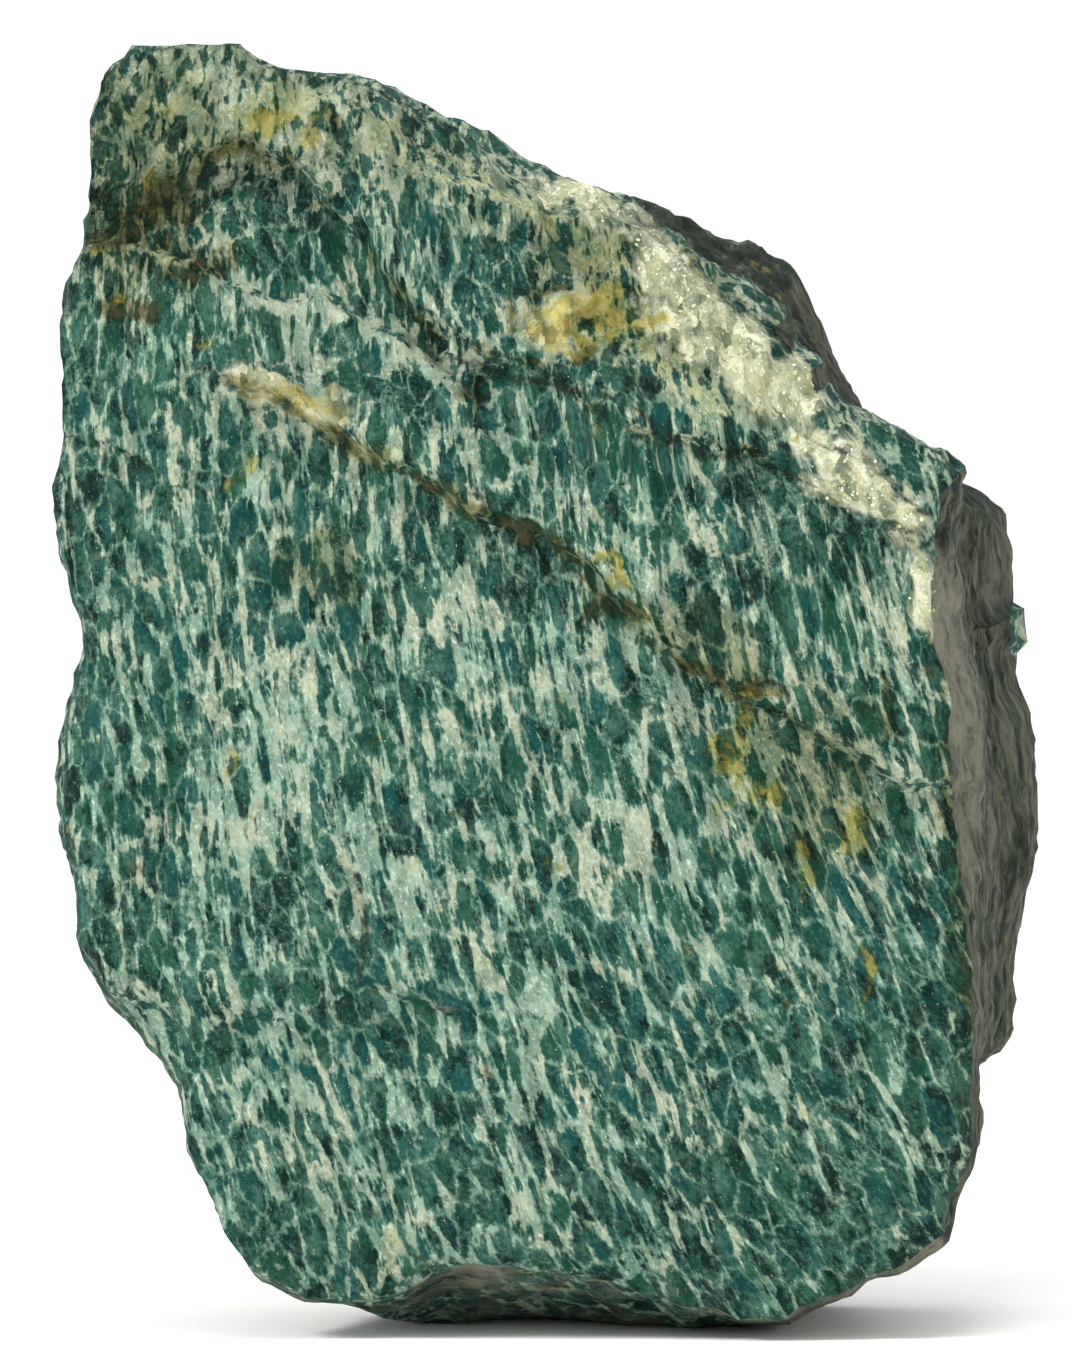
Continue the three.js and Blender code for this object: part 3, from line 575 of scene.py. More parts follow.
def square_patch(across, up):
    """A flat square grid: its across and up values, its squares, and the points round it, anticlockwise."""
    a, u = np.meshgrid(np.linspace(-1, 1, across + 1), np.linspace(-1, 1, up + 1))
    point = np.arange(a.size).reshape(up + 1, across + 1)
    squares = np.stack([point[:-1, :-1], point[:-1, 1:], point[1:, 1:], point[1:, :-1]], axis=-1).reshape(-1, 4)
    round_it = np.concatenate([point[0, :-1], point[:-1, -1], point[-1, :0:-1], point[:0:-1, 0]])
    return a.ravel(), u.ravel(), squares, round_it


def stone_grid(sizes):
    """A closed box of squares: across, up and row for each point, its squares, and the strip of triangles
    that joins the fine face to the walls and back, which have half as many points each way."""
    a, u, face, rim = square_patch(sizes.squares_across, sizes.squares_up)
    ca, cu, back, back_rim = square_patch(sizes.squares_across // 2, sizes.squares_up // 2)
    levels = np.linspace(0, BACK_ROW, sizes.wall_rows + 2)[1:-1]
    across = np.concatenate([a, np.tile(ca[back_rim], levels.size), ca])
    up = np.concatenate([u, np.tile(cu[back_rim], levels.size), cu])
    row = np.concatenate([np.zeros(a.size), np.repeat(levels, back_rim.size), np.full(ca.size, BACK_ROW)])
    rings = [a.size + n * back_rim.size + np.arange(back_rim.size) for n in range(levels.size)]
    rings.append(a.size + levels.size * back_rim.size + back_rim)
    squares = [face, back[:, ::-1] + rings[-1].min()]
    for ring, deeper in zip(rings, rings[1:]):
        squares.append(np.stack([ring, deeper, np.roll(deeper, -1), np.roll(ring, -1)], axis=-1))
    near, middle, far = rim[0::2], rim[1::2], np.roll(rim, -2)[0::2]
    coarse, coarse_far = rings[0], np.roll(rings[0], -1)
    strip = np.concatenate([
        np.stack([near, coarse, middle], axis=-1),
        np.stack([coarse, coarse_far, middle], axis=-1),
        np.stack([coarse_far, far, middle], axis=-1),
    ])
    return across, up, row, np.concatenate(squares), strip


def stone_form(across, up, row, fine):
    """The smooth stone as x, y, z rows: the face where row is 0, the back where it is BACK_ROW, walls between."""
    share = np.maximum(np.abs(across), np.abs(up))
    wide = np.abs(across) > np.abs(up)
    safe_across, safe_up = np.where(across == 0, 1, across), np.where(up == 0, 1, up)
    turn = np.where(
        wide, math.pi / 4 * up / safe_across + np.where(across < 0, math.pi, 0),
        math.pi / 2 - math.pi / 4 * across / safe_up + np.where(up < 0, math.pi, 0))
    dx, dz = HALF_WIDTH * np.cos(turn), HALF_HEIGHT * np.sin(turn)
    size = np.hypot(dx, dz)
    dx, dz = dx / size, dz / size

    shoulder, bevel = leave(SHOULDER, dx, dz)
    girth, girth_depth = leave(GIRTH, dx, dz)
    back, _ = leave(BACK_RIM, dx, dz)
    bevel = bevel * rim_wear(CENTRE_X + dx * shoulder, CENTRE_Z + dz * shoulder)
    rim = shoulder - bevel
    rim_depth = face_depth(CENTRE_X + dx * rim, CENTRE_Z + dz * rim, 1, fine)
    back_rim_depth = back_depth(CENTRE_X + dx * back, CENTRE_Z + dz * back, fine)
    rows = [0, SHOULDER_ROW, GIRTH_ROW, BACK_ROW]
    outs = [rim, shoulder, girth, back]
    depths = [rim_depth, rim_depth + SHOULDER_SETBACK + SETBACK_PER_BEVEL * bevel, girth_depth, back_rim_depth]
    out, depth = outs[0], depths[0]
    for n in range(3):
        t = np.clip((row - rows[n]) / (rows[n + 1] - rows[n]), 0, 1)
        out = out + t * (outs[n + 1] - outs[n])
        depth = depth + t * (depths[n + 1] - depths[n])
    on_face, on_back = row == 0, row == BACK_ROW
    if fine:
        x, z = CENTRE_X + dx * out, CENTRE_Z + dz * out
        nicks = sum(reach * noise(x / wide, depth / wide, z / wide, salt) for reach, wide, salt in EDGE_NICKS)
        out = out + nicks * np.where(on_face, smoothstep(share, 0.9, 1), 1)
    out = out * np.where(on_face | on_back, share, 1)
    x, z = CENTRE_X + dx * out, CENTRE_Z + dz * out
    depth = np.where(on_face, face_depth(x, z, share, fine), np.where(on_back, back_depth(x, z, fine), depth))
    return np.stack([x, depth, z])


def normals_of(points, squares):
    """Vertex normals of a mesh of squares, for points as x, y, z rows."""
    p = points.T
    face_normal = np.cross(p[squares[:, 2]] - p[squares[:, 0]], p[squares[:, 3]] - p[squares[:, 1]])
    total = np.zeros_like(p)
    for corner in range(4):
        np.add.at(total, squares[:, corner], face_normal)
    return (total / np.linalg.norm(total, axis=1, keepdims=True)).T


def broken_relief(p, n, row):
    """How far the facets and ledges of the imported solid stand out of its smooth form."""
    facing = smoothstep(-n[1], 0.5, 0.9)
    under = smoothstep(-n[2], 0.6, 0.9)
    wall = (1 - smoothstep(np.abs(n[1]), 0.4, 0.8)) * (1 - under)
    bias = INWARD_BIAS * wall
    broken = (1 - facing * (1 - BROKEN_SHARE_ON_FACE)) * (1 - under)
    wave = noise(p[0] / LAYER_WAVE_SCALE, p[1] / LAYER_WAVE_SCALE, p[2] / LAYER_WAVE_HEIGHT, 14)
    layer = (p[1] + LAYER_SLANT * p[0]) / LEDGE_PITCH + LAYER_WAVE * wave
    height = wall * LEDGE_RELIEF * (ledges(layer) - INWARD_BIAS)
    for size, relief, salt in BROKEN_FACETS:
        height = height + broken * relief * (facets(p, size, salt) - bias)
    return height * held_share(row, OUTLINE_HOLD, OUTLINE_SHARE)


def held_share(row, hold, share):
    """Share of a relief that is left near the two outlines, so that they keep their measured place."""
    away = np.minimum(np.abs(row - SHOULDER_ROW), np.abs(row - GIRTH_ROW))
    return share + (1 - share) * smoothstep(away, 0, hold)


def fine_relief(p, n, row):
    """Thin layers that fade in and out, long chips and crumbs on the walls and the back."""
    side = 1 - smoothstep(-n[1], 0.5, 0.9)
    under = smoothstep(-n[2], 0.6, 0.9)
    wave = facets(p * np.array([[1], [1], [0.15]]), 7, 31)
    layer = (p[1] + LAYER_SLANT * p[0]) / THIN_LAYER_PITCH + 0.25 * wave
    thin = THIN_LAYER_RELIEF * ledges(layer) * np.clip(0.5 + noise(p[0] / 7, p[1] / 3, p[2] / 12, 32), 0, 1)
    chips = mixed_facets(p * np.array([[1], [1], [0.5]]), LONG_CHIPS)
    crumbs = mixed_facets(p, CRUMBS) + 0.12 * noise(p[0] / 0.9, p[1] / 0.9, p[2] / 0.9, 35)
    return side * (1 - under) * ((thin + chips) * held_share(row, 1.5, 0.15) + crumbs)


def flattest_triangles(points, squares):
    """Cuts each square along the diagonal that bends it less."""
    p = points.T
    a, b, c, d = (p[squares[:, n]] for n in range(4))

    def flatness(first, second):
        one = np.cross(first[1] - first[0], first[2] - first[0])
        two = np.cross(second[1] - second[0], second[2] - second[0])
        return np.sum(one * two, axis=1) / (np.linalg.norm(one, axis=1) * np.linalg.norm(two, axis=1) + 1e-12)

    other = flatness((a, b, d), (b, c, d)) > flatness((a, b, c), (a, c, d))
    first = np.where(other[:, None], squares[:, [0, 1, 3]], squares[:, [0, 1, 2]])
    second = np.where(other[:, None], squares[:, [1, 2, 3]], squares[:, [0, 2, 3]])
    return np.concatenate([first, second])


# ---- Meshes and node trees ----

def new_mesh(name, points, triangles):
    """A smooth-shaded mesh from points in metres and triangles."""
    mesh = bpy.data.meshes.new(name)
    mesh.vertices.add(len(points))
    mesh.vertices.foreach_set("co", np.ascontiguousarray(points, dtype=np.float32).ravel())
    mesh.loops.add(triangles.size)
    mesh.loops.foreach_set("vertex_index", triangles.astype(np.int32).ravel())
    mesh.polygons.add(len(triangles))
    mesh.polygons.foreach_set("loop_start", np.arange(0, triangles.size, 3, dtype=np.int32))
    mesh.update(calc_edges=True)
    mesh.shade_smooth()
    return mesh


def new_object(name, mesh):
    made = bpy.data.objects.new(name, mesh)
    bpy.context.scene.collection.objects.link(made)
    return made


def store(mesh, name, values, kind="FLOAT"):
    """Keeps a value for each vertex under a name that the materials read."""
    field = "value" if kind == "FLOAT" else "vector"
    attribute = mesh.attributes.new(name, kind, "POINT")
    attribute.data.foreach_set(field, np.ascontiguousarray(values, dtype=np.float32).ravel())


def add(tree, kind, inputs=None, **settings):
    """Adds a node, makes its settings, and gives its inputs values, sockets or other nodes' first outputs."""
    node = tree.nodes.new(kind)
    for name, value in settings.items():
        setattr(node, name, value)
    for key, value in (inputs or {}).items():
        named = [socket for socket in node.inputs if socket.enabled and socket.name == key]
        socket = named[0] if named else node.inputs[key]
        if isinstance(value, bpy.types.Node):
            value = next(output for output in value.outputs if output.enabled)
        if isinstance(value, bpy.types.NodeSocket):
            tree.links.new(value, socket)
        else:
            socket.default_value = value
    return node


# ---- The stone's mesh ----

def skin_values(p, facing, row, side):
    """How weathered the broken sides are, how far that is the top's dark skin, and their paler band."""
    x, y, z = p
    upward, under = smoothstep(facing[2], 0.3, 0.8), smoothstep(-facing[2], 0.35, 0.8)
    right = smoothstep(facing[0], 0.35, 0.8) * (1 - 0.45 * smoothstep(y, 6, 22))
    back = smoothstep(facing[1], 0.3, 0.8)

    # The top's dark skin ends raggedly on the left, and leaves a fresh strip along the rim.
    torn = 5 + 6 * smoothstep(y, 2, 16)
    ragged = x + torn * noise(x / 5, y / 5, z / 5, 46) + 0.5 * torn * noise(x / 2, y / 2, z / 2, 47)
    to_right = smoothstep(ragged, -1, 18)
    top = upward * to_right * (1 - 0.6 * smoothstep(y, 10, 24))
    by_rim = 1 - smoothstep(y + 4 * noise(x / 4, y / 4, z / 4, 48), -21, -13)
    fresh = upward * np.maximum(by_rim, (1 - to_right) * (1 - smoothstep(y, -8, 4)))

    # The knob on the right side has a fresh chip.
    chip = smoothstep(x, 41.8, 42.6) * band(z, 58.6, 59.4, 63.2, 64)
    skin = LEAST_SKIN + SKIN_ON_RIGHT * right + SKIN_ON_BACK * back + SKIN_ON_TOP * top + SKIN_UNDER * under
    weather = side * np.clip(skin * (1 - fresh), 0, 1) * (1 - 0.8 * chip)

    # The paler band lies beside the face on the right, and below it.
    beside = band(row, 0, 0.3, 1.2, 3.6) * smoothstep(x, 26, 30) * band(z, 12, 54, 60, 80)
    below = under * smoothstep(x, -14, -4) * (1 - smoothstep(y, -12, -4))
    return {"weather": weather, "top": top, "beige": np.maximum(beside, below)}


def face_values(p, across, row, side):
    """What the face is made of, its dirt, painted shade and painted highlights, and how rough it is, from its
    patches, scarps and cracks.
    """
    x, y, z = p
    near_face = 1 - smoothstep(y, -22, -8)
    near = {name: patch_field(patches, x, z) for name, patches in PATCHES.items()}
    _, dirt_and_shade, crest = scarps_at(FACE_SCARPS, x, z, True)

    # Dirt lies along the rim on the right too.
    right_rim = 0.7 * smoothstep(across, 0.92, 1) * smoothstep(z, 14, 30) * (1 - smoothstep(z, 56, 64))
    dirt_and_shade = np.maximum(dirt_and_shade, right_rim * (1 - smoothstep(row, 1, 2)))

    # Where the vein meets the top edge, its quartz goes on over the rim.
    over_rim = band(x, -6, 0, 9, 13) * smoothstep(z, 92, 95)
    quartz = near["quartz"] * (1 - smoothstep(row, 0.2 + over_rim, 1.2 + 3 * over_rim))
    from_vein, _, _ = from_line(VEIN, x, z)

    # The cells are darker to the lower right, at the left edge, in the dim patches and low down. Two dim
    # patches paint the shade below the upper recess's roof.
    shade = np.maximum(0.3 * smoothstep(x - 0.9 * (z - 20), 0, 40), 0.4 * smoothstep(-x, 35, 41))
    shade = np.maximum(shade, 0.4 * near["dim"]) + 0.12 * (1 - smoothstep(z, 24, 44))
    rough = np.maximum(side, np.maximum(near["rough"], dirt_and_shade) * near_face)
    return {
        "cool": smoothstep(-0.5 * x - (z - 52), -45, 40),
        "warm": np.maximum(0.7 * smoothstep(z, 92, 104), near["warm"]) * near_face,
        "crack": crack_distance(x, z)[0] + 20 * side,
        "quartz": quartz,
        "sugary": quartz * smoothstep(x, -4, 0) * (1 - smoothstep(from_vein, 4, 6)),
        "butter": near["butter"] * near_face,
        "ochre": near["ochre"] * near_face,
        # brown takes in the dirt and painted shade on the scarps' slopes
        "brown": np.maximum(near["brown"], dirt_and_shade) * near_face,
        # crest is a painted highlight along the scarps' upper edges
        "crest": crest * near_face,
        # deep also carries painted shade below the upper recess's roof
        "deep": np.maximum(near["deep"], shade) * near_face,
        "pale": near["pale"] * near_face,
        "rough": rough * smoothstep(z, 0, 2.5),
    }


def stone_mesh(sizes):
    """The stone's fine mesh in metres, with the values that the materials read at each vertex."""
    across, up, row, squares, strip = stone_grid(sizes)
    plain = stone_form(across, up, row, False)
    facing = normals_of(plain, squares)
    p = stone_form(across, up, row, True)
    p = p + facing * (broken_relief(plain, facing, row) + fine_relief(plain, facing, row))
    p[2] = np.maximum(p[2], 0)
    triangles = np.concatenate([flattest_triangles(p, squares), strip])

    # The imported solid's middle and foot set where the stone stands.
    low, high = np.array(cad_low) / MM, np.array(cad_high) / MM
    middle = (p.min(axis=1) + p.max(axis=1)) / 2
    shift = np.array([(low[0] + high[0]) / 2 - middle[0], (low[1] + high[1]) / 2 - middle[1], low[2] - p[2].min()])
    mesh = new_mesh("stone", (p + shift[:, None]).T * MM, triangles)

    # The pattern is read at a place across, into and along the stringers.
    x, y, z = p
    along = z
    for patch, share in LONG_PATCHES:
        along = along - share * patch_field([patch], x, z) * (z - patch[1])
    store(mesh, "grain", np.stack([across_grain(x, z), y, along], axis=-1), "FLOAT_VECTOR")
    side = 1 - smoothstep(-facing[1], 0.45, 0.85)
    for name, values in (skin_values(p, facing, row, side) | face_values(p, across, row, side)).items():
        store(mesh, name, values)
    return mesh


# ---- Geometry Nodes: small chips on the broken stone, and the sugary quartz ----

def new_geometry_tree(name, sockets):
    """An empty tree that takes and gives a mesh, with further inputs of these names and types."""
    tree = bpy.data.node_groups.new(name, "GeometryNodeTree")
    tree.interface.new_socket(name="Geometry", in_out="INPUT", socket_type="NodeSocketGeometry")
    tree.interface.new_socket(name="Geometry", in_out="OUTPUT", socket_type="NodeSocketGeometry")
    for label, kind in sockets.items():
        tree.interface.new_socket(name=label, in_out="INPUT", socket_type=kind)
    return tree, tree.nodes.new("NodeGroupInput").outputs


def chips_tree():
    """Breaks rough parts of a mesh into small flat chips, as feldspar breaks along its two cleavages.

    The chips' square cells stand at an angle to the stone. 0.45 is about the usual distance from a cell's
    middle, so that as much stands out as sinks in.
    """
    tree, given = new_geometry_tree("feldspar chips", {
        "Chip size": "NodeSocketFloat", "Chip relief": "NodeSocketFloat", "Material": "NodeSocketMaterial"})
    turned = add(tree, "ShaderNodeVectorRotate", {
        "Vector": add(tree, "GeometryNodeInputPosition"), "Axis": (0.4, 0.8, 0.3), "Angle": 0.7})
    cells = add(tree, "ShaderNodeVectorMath", {
        0: turned, 1: add(tree, "ShaderNodeMath", {0: 1.0, 1: given["Chip size"]}, operation="DIVIDE")},
        operation="MULTIPLY")
    hollow = add(tree, "ShaderNodeTexVoronoi", {"Vector": cells, "Scale": 1.0, "Randomness": 0.9},
                 distance="CHEBYCHEV")
    rough = add(tree, "GeometryNodeInputNamedAttribute", {"Name": "rough"}, data_type="FLOAT")
    depth = add(tree, "ShaderNodeMath", {0: rough, 1: given["Chip relief"]}, operation="MULTIPLY")
    centred = add(tree, "ShaderNodeMath", {0: hollow.outputs["Distance"], 1: 0.45}, operation="SUBTRACT")
    height = add(tree, "ShaderNodeMath", {0: centred, 1: depth}, operation="MULTIPLY")
    offset = add(tree, "ShaderNodeVectorMath", {0: add(tree, "GeometryNodeInputNormal"), "Scale": height},
                 operation="SCALE")
    moved = add(tree, "GeometryNodeSetPosition", {"Geometry": given["Geometry"], "Offset": offset})
    real = add(tree, "GeometryNodeRealizeInstances", {"Geometry": moved})
    finished = add(tree, "GeometryNodeSetMaterial", {"Geometry": real, "Material": given["Material"]})
    add(tree, "NodeGroupOutput", {"Geometry": finished})
    return tree


def grains_tree():
    """Sets small broken grains on the parts of a mesh that its sugary attribute marks."""
    tree, given = new_geometry_tree("quartz grains", {
        "Grain size": "NodeSocketFloat", "Grains per square metre": "NodeSocketFloat",
        "Material": "NodeSocketMaterial"})
    sugary = add(tree, "GeometryNodeInputNamedAttribute", {"Name": "sugary"}, data_type="FLOAT")
    share = add(tree, "ShaderNodeMapRange", {"Value": sugary, "From Min": 0.5, "From Max": 1.0})
    density = add(tree, "ShaderNodeMath", {0: share, 1: given["Grains per square metre"]}, operation="MULTIPLY")
    points = add(tree, "GeometryNodeDistributePointsOnFaces", {
        "Mesh": given["Geometry"], "Density": density, "Seed": 5}, distribute_method="RANDOM")
    grain = add(tree, "GeometryNodeMeshIcoSphere", {"Radius": 1.0, "Subdivisions": 1})
    turn = add(tree, "FunctionNodeRandomValue", {"Min": (0, 0, 0), "Max": (6.28, 6.28, 6.28), "Seed": 6},
               data_type="FLOAT_VECTOR")
    scale = add(tree, "FunctionNodeRandomValue", {"Min": (0.2, 0.2, 0.2), "Max": (0.7, 0.7, 0.7), "Seed": 7},
                data_type="FLOAT_VECTOR")
    sized = add(tree, "ShaderNodeVectorMath", {0: scale, "Scale": given["Grain size"]}, operation="SCALE")
    grains = add(tree, "GeometryNodeInstanceOnPoints", {
        "Points": points.outputs["Points"], "Instance": grain, "Rotation": turn, "Scale": sized})
    real = add(tree, "GeometryNodeRealizeInstances", {"Geometry": grains})
    finished = add(tree, "GeometryNodeSetMaterial", {"Geometry": real, "Material": given["Material"]})
    add(tree, "NodeGroupOutput", {"Geometry": finished})
    return tree


def made_by(tree, name, mesh, **inputs):
    """The plain mesh that a tree makes of a mesh. Inputs are named with underscores for spaces."""
    source = new_object(name + "_source", mesh)
    modifier = source.modifiers.new(name, "NODES")
    modifier.node_group = tree
    for item in tree.interface.items_tree:
        key = item.name.replace(" ", "_")
        if item.in_out == "INPUT" and key in inputs:
            modifier[item.identifier] = inputs[key]
    evaluated = source.evaluated_get(bpy.context.evaluated_depsgraph_get())
    made = bpy.data.meshes.new_from_object(evaluated)
    made.name = name
    bpy.data.objects.remove(source)
    if len(made.polygons) == 0:
        raise RuntimeError(f"{name} came out empty")
    return made


# ---- Materials ----

def new_material(name):
    """A material with a Principled shader, and its tree."""
    material = bpy.data.materials.new(name)
    material.use_nodes = True
    tree = material.node_tree
    tree.nodes.clear()
    shader = add(tree, "ShaderNodeBsdfPrincipled")
    add(tree, "ShaderNodeOutputMaterial", {"Surface": shader})
    return material, tree, shader


# The values that each vertex of the stone carries for its material.
FIELDS = ("weather", "top", "beige", "cool", "warm", "crack", "crest", "quartz", "butter", "ochre", "brown", "deep",
          "pale", "rough")

# Clouds of noise: name, the place read, size in millimetres, detail, roughness, and how far the cloud bends the
# place that carries its name. Sizes are across the stringers, into the stone and along the stringers.
CLOUDS = (
    ("sway", "grain", (9, 9, 20), 2.0, 0.5, (3.6, 1, 3)),
    ("fray", "sway", (0.8, 0.8, 1.0), 3.0, 0.7, (0.9, 0.9, 1.3)),
    ("streak", "sway", (0.85, 1.3, 5.0), 2.0, 0.6, None),
    ("gathered", "grain", (6, 6, 10), 2.0, 0.5, None),
    ("crumbs", "grain", (0.42, 0.42, 0.65), 3.0, 0.65, None),
    ("hue", "grain", (14, 14, 18), 1.0, 0.5, None),
    ("mottle", "grain", (0.4, 0.4, 0.6), 4.0, 0.75, None),
    ("milky", "grain", (1.7, 1.7, 3.0), 2.0, 0.5, None),
    ("tint", "grain", (2.6, 2.6, 4.5), 2.0, 0.5, None),
    ("grime", "grain", (0.8, 0.8, 0.8), 4.0, 0.75, None),
    ("patchy", "grain", (1.8, 1.8, 2.4), 2.0, 0.65, None),
    ("upright", "sway", (3.5, 1.2, 8.0), 3.0, 0.7, None),
    ("on top", "fray", (0.9, 5.0, 3.0), 3.0, 0.75, None),
    ("worn", "grain", (8, 8, 11), 3.0, 0.6, None),
    # Painted glints: tiny bright specks.
    ("painted_glints", "grain", (0.22, 0.22, 0.22), 1.0, 0.5, None),
)

# How the material's other values follow: name, operation, and what it takes. A STEP goes smoothly, between two
# limits of its value, from a first number to a last.
VALUES = (
    ("swell", "MULTIPLY_ADD", "gathered", 0.25, "streak"),
    ("swell", "MULTIPLY_ADD", "pale", 0.08, "swell"),
    ("swell", "MULTIPLY_ADD", "butter", 0.06, "swell"),
    ("swell", "MULTIPLY_ADD", "deep", -0.2, "swell"),
    # Painted highlight: more albite along the scarps' upper edges.
    ("swell", "MULTIPLY_ADD", "crest", 0.24, "swell"),
    ("border", "STEP", "swell", 0.53, 0.91, 0.0, 0.38),
    ("from net", "SUBTRACT", "coarse edge", "border"),
    ("fine swell", "MULTIPLY_ADD", "coarse Blue", 0.25, "swell"),
    ("fine border", "STEP", "fine swell", 0.68, 1.08, -0.12, 0.26),
    ("from fine net", "SUBTRACT", "fine edge", "fine border"),
    ("from nets", "MINIMUM", "from net", "from fine net"),
    ("albite", "STEP", "from nets", -0.12, 0.14, 1.0, 0.0),
    ("albite", "MULTIPLY_ADD", "crumbs", 1.8, "albite"),

    ("blueness", "ADD", "hue", "coarse Green"),
    # Depth follows the deep cells, and painted shade below the upper recess's roof.
    ("depth", "MULTIPLY_ADD", "deep", 0.8, "fine Blue"),
    ("milkiness", "MULTIPLY_ADD", "milky", 0.9, "mottle"),
    ("coolness", "MULTIPLY_ADD", "cool", 0.1, "tint"),
    ("coolness", "MULTIPLY_ADD", "mottle", 0.6, "coolness"),
    ("khaki", "MULTIPLY_ADD", "warm", 0.5, "tint"),
    ("buttery", "MULTIPLY_ADD", "tint", 0.6, "butter"),

    ("quartz share", "MULTIPLY_ADD", "patchy", 1.6, "quartz"),
    ("glassiness", "ADD", "mottle", "tint"),
    ("glassiness", "MULTIPLY_ADD", "fine Green", 0.6, "glassiness"),
    ("sugar", "ADD", "grime", "mottle"),
    ("sugar", "MULTIPLY_ADD", "fine Red", 0.7, "sugar"),

    ("spots", "ADD", "grime", "patchy"),
    # Brown dirt, with painted shade on the scarps' slopes.
    ("dirt_and_shade", "MULTIPLY_ADD", "spots", 1.8, "brown"),
    ("rust", "MULTIPLY_ADD", "spots", 1.8, "ochre"),
    # Painted shade: dark lines along the cracks' grooves.
    ("crack shade", "MULTIPLY_ADD", "spots", 0.7, "crack"),

    ("side streaks", "SUBTRACT", 1.0, "top"),
    ("side streaks", "MULTIPLY", "side streaks", "upright"),
    ("layers", "MULTIPLY_ADD", "on top", "top", "side streaks"),
    ("layers", "MULTIPLY_ADD", "top", -0.13, "layers"),
    ("dustiness", "MULTIPLY_ADD", "grime", 0.6, "layers"),
    ("band", "MULTIPLY_ADD", "patchy", 1.6, "beige"),
    ("band", "MULTIPLY_ADD", "grime", 1.0, "band"),
    ("band", "MULTIPLY_ADD", "upright", 0.6, "band"),
    ("bareness", "MULTIPLY", "worn", 1.1),
    ("bareness", "MULTIPLY_ADD", "weather", 0.8, "bareness"),
    ("bareness", "MULTIPLY_ADD", "grime", 0.25, "bareness"),

    ("gloss", "STEP", "mottle", 0.3, 0.7, 0.35, 0.55),
    ("gloss", "MULTIPLY_ADD", "rough", 0.15, "gloss"),
    ("relief", "MULTIPLY_ADD", "albite", 0.5, "mottle"),
    ("relief", "ADD", "relief", "grime"),
    ("relief", "MULTIPLY_ADD", "fine tilt", 1.6, "relief"),
    ("relief", "MULTIPLY_ADD", "coarse tilt", 2.0, "relief"),
)

# Layers of colour: the mixture that a layer lies on, the colour or mixture it is made of, the value that steers
# it, the value's limits, the most it covers, and how it is laid.
LAYERS = (
    ("cells", "green", "coarse Red", 0.35, 0.75, 1.0, "MIX"),
    ("cells", "blue", "blueness", 1.04, 1.34, 0.9, "MIX"),
    ("cells", "deep", "depth", 0.4, 1.0, 0.85, "MIX"),
    ("cells", "cloud", "milkiness", 0.85, 1.3, 0.9, "MIX"),
    ("creams", "butter", "buttery", 0.6, 1.3, 0.8, "MIX"),
    ("creams", "pale_green", "coolness", 0.76, 0.98, 0.85, "MIX"),
    ("creams", "cloud", "milkiness", 1.05, 0.8, 0.6, "MIX"),
    ("creams", "white", "mottle", 0.5, 0.74, 0.9, "MIX"),
    ("stone", "cloud", "albite", 0.9, 1.45, 0.75, "MIX"),
    ("stone", "creams", "albite", 1.2, 1.95, 1.0, "MIX"),
    # Painted glints: tiny frost-white specks over the stone.
    ("stone", "frost", "painted_glints", 0.72, 0.8, 0.55, "MIX"),
    ("stone", "olive", "khaki", 0.6, 1.05, 0.8, "MULTIPLY"),

    ("milk", "cream", "patchy", 0.42, 0.6, 0.7, "MIX"),
    ("milk", "glassy", "glassiness", 1.1, 1.6, 0.9, "MIX"),
    ("milk", "frost", "sugar", 1.25, 1.65, 0.9, "MIX"),
    ("stone", "milk", "quartz share", 1.05, 1.6, 1.0, "MIX"),
    # Olive and brown go on over dirt, and as painted shade on the scarps' slopes.
    ("stone", "olive", "dirt_and_shade", 2.0, 2.6, 1.0, "MULTIPLY"),
    ("stone", "brown", "dirt_and_shade", 2.5, 3.2, 0.75, "MIX"),
    ("stone", "stain", "rust", 2.1, 2.8, 1.0, "MULTIPLY"),
    ("stone", "ochre", "rust", 2.5, 3.2, 0.45, "MIX"),

    ("skin", "wall", "layers", 0.38, 0.62, 1.0, "MIX"),
    ("skin", "wall_green", "milky", 0.52, 0.68, 0.6, "MIX"),
    ("skin", "dust", "dustiness", 0.85, 1.15, 0.7, "MIX"),
    ("skin", "ochre", "patchy", 0.62, 0.78, 0.3, "MIX"),
    ("skin", "beige", "band", 2.0, 2.9, 0.9, "MIX"),
    ("stone", "skin", "bareness", 1.02, 1.25, 0.95, "MIX"),
    # Painted shade: dark lines along the cracks.
    ("stone", "wall_dark", "crack shade", 1.05, 0.7, 0.8, "MIX"),
)


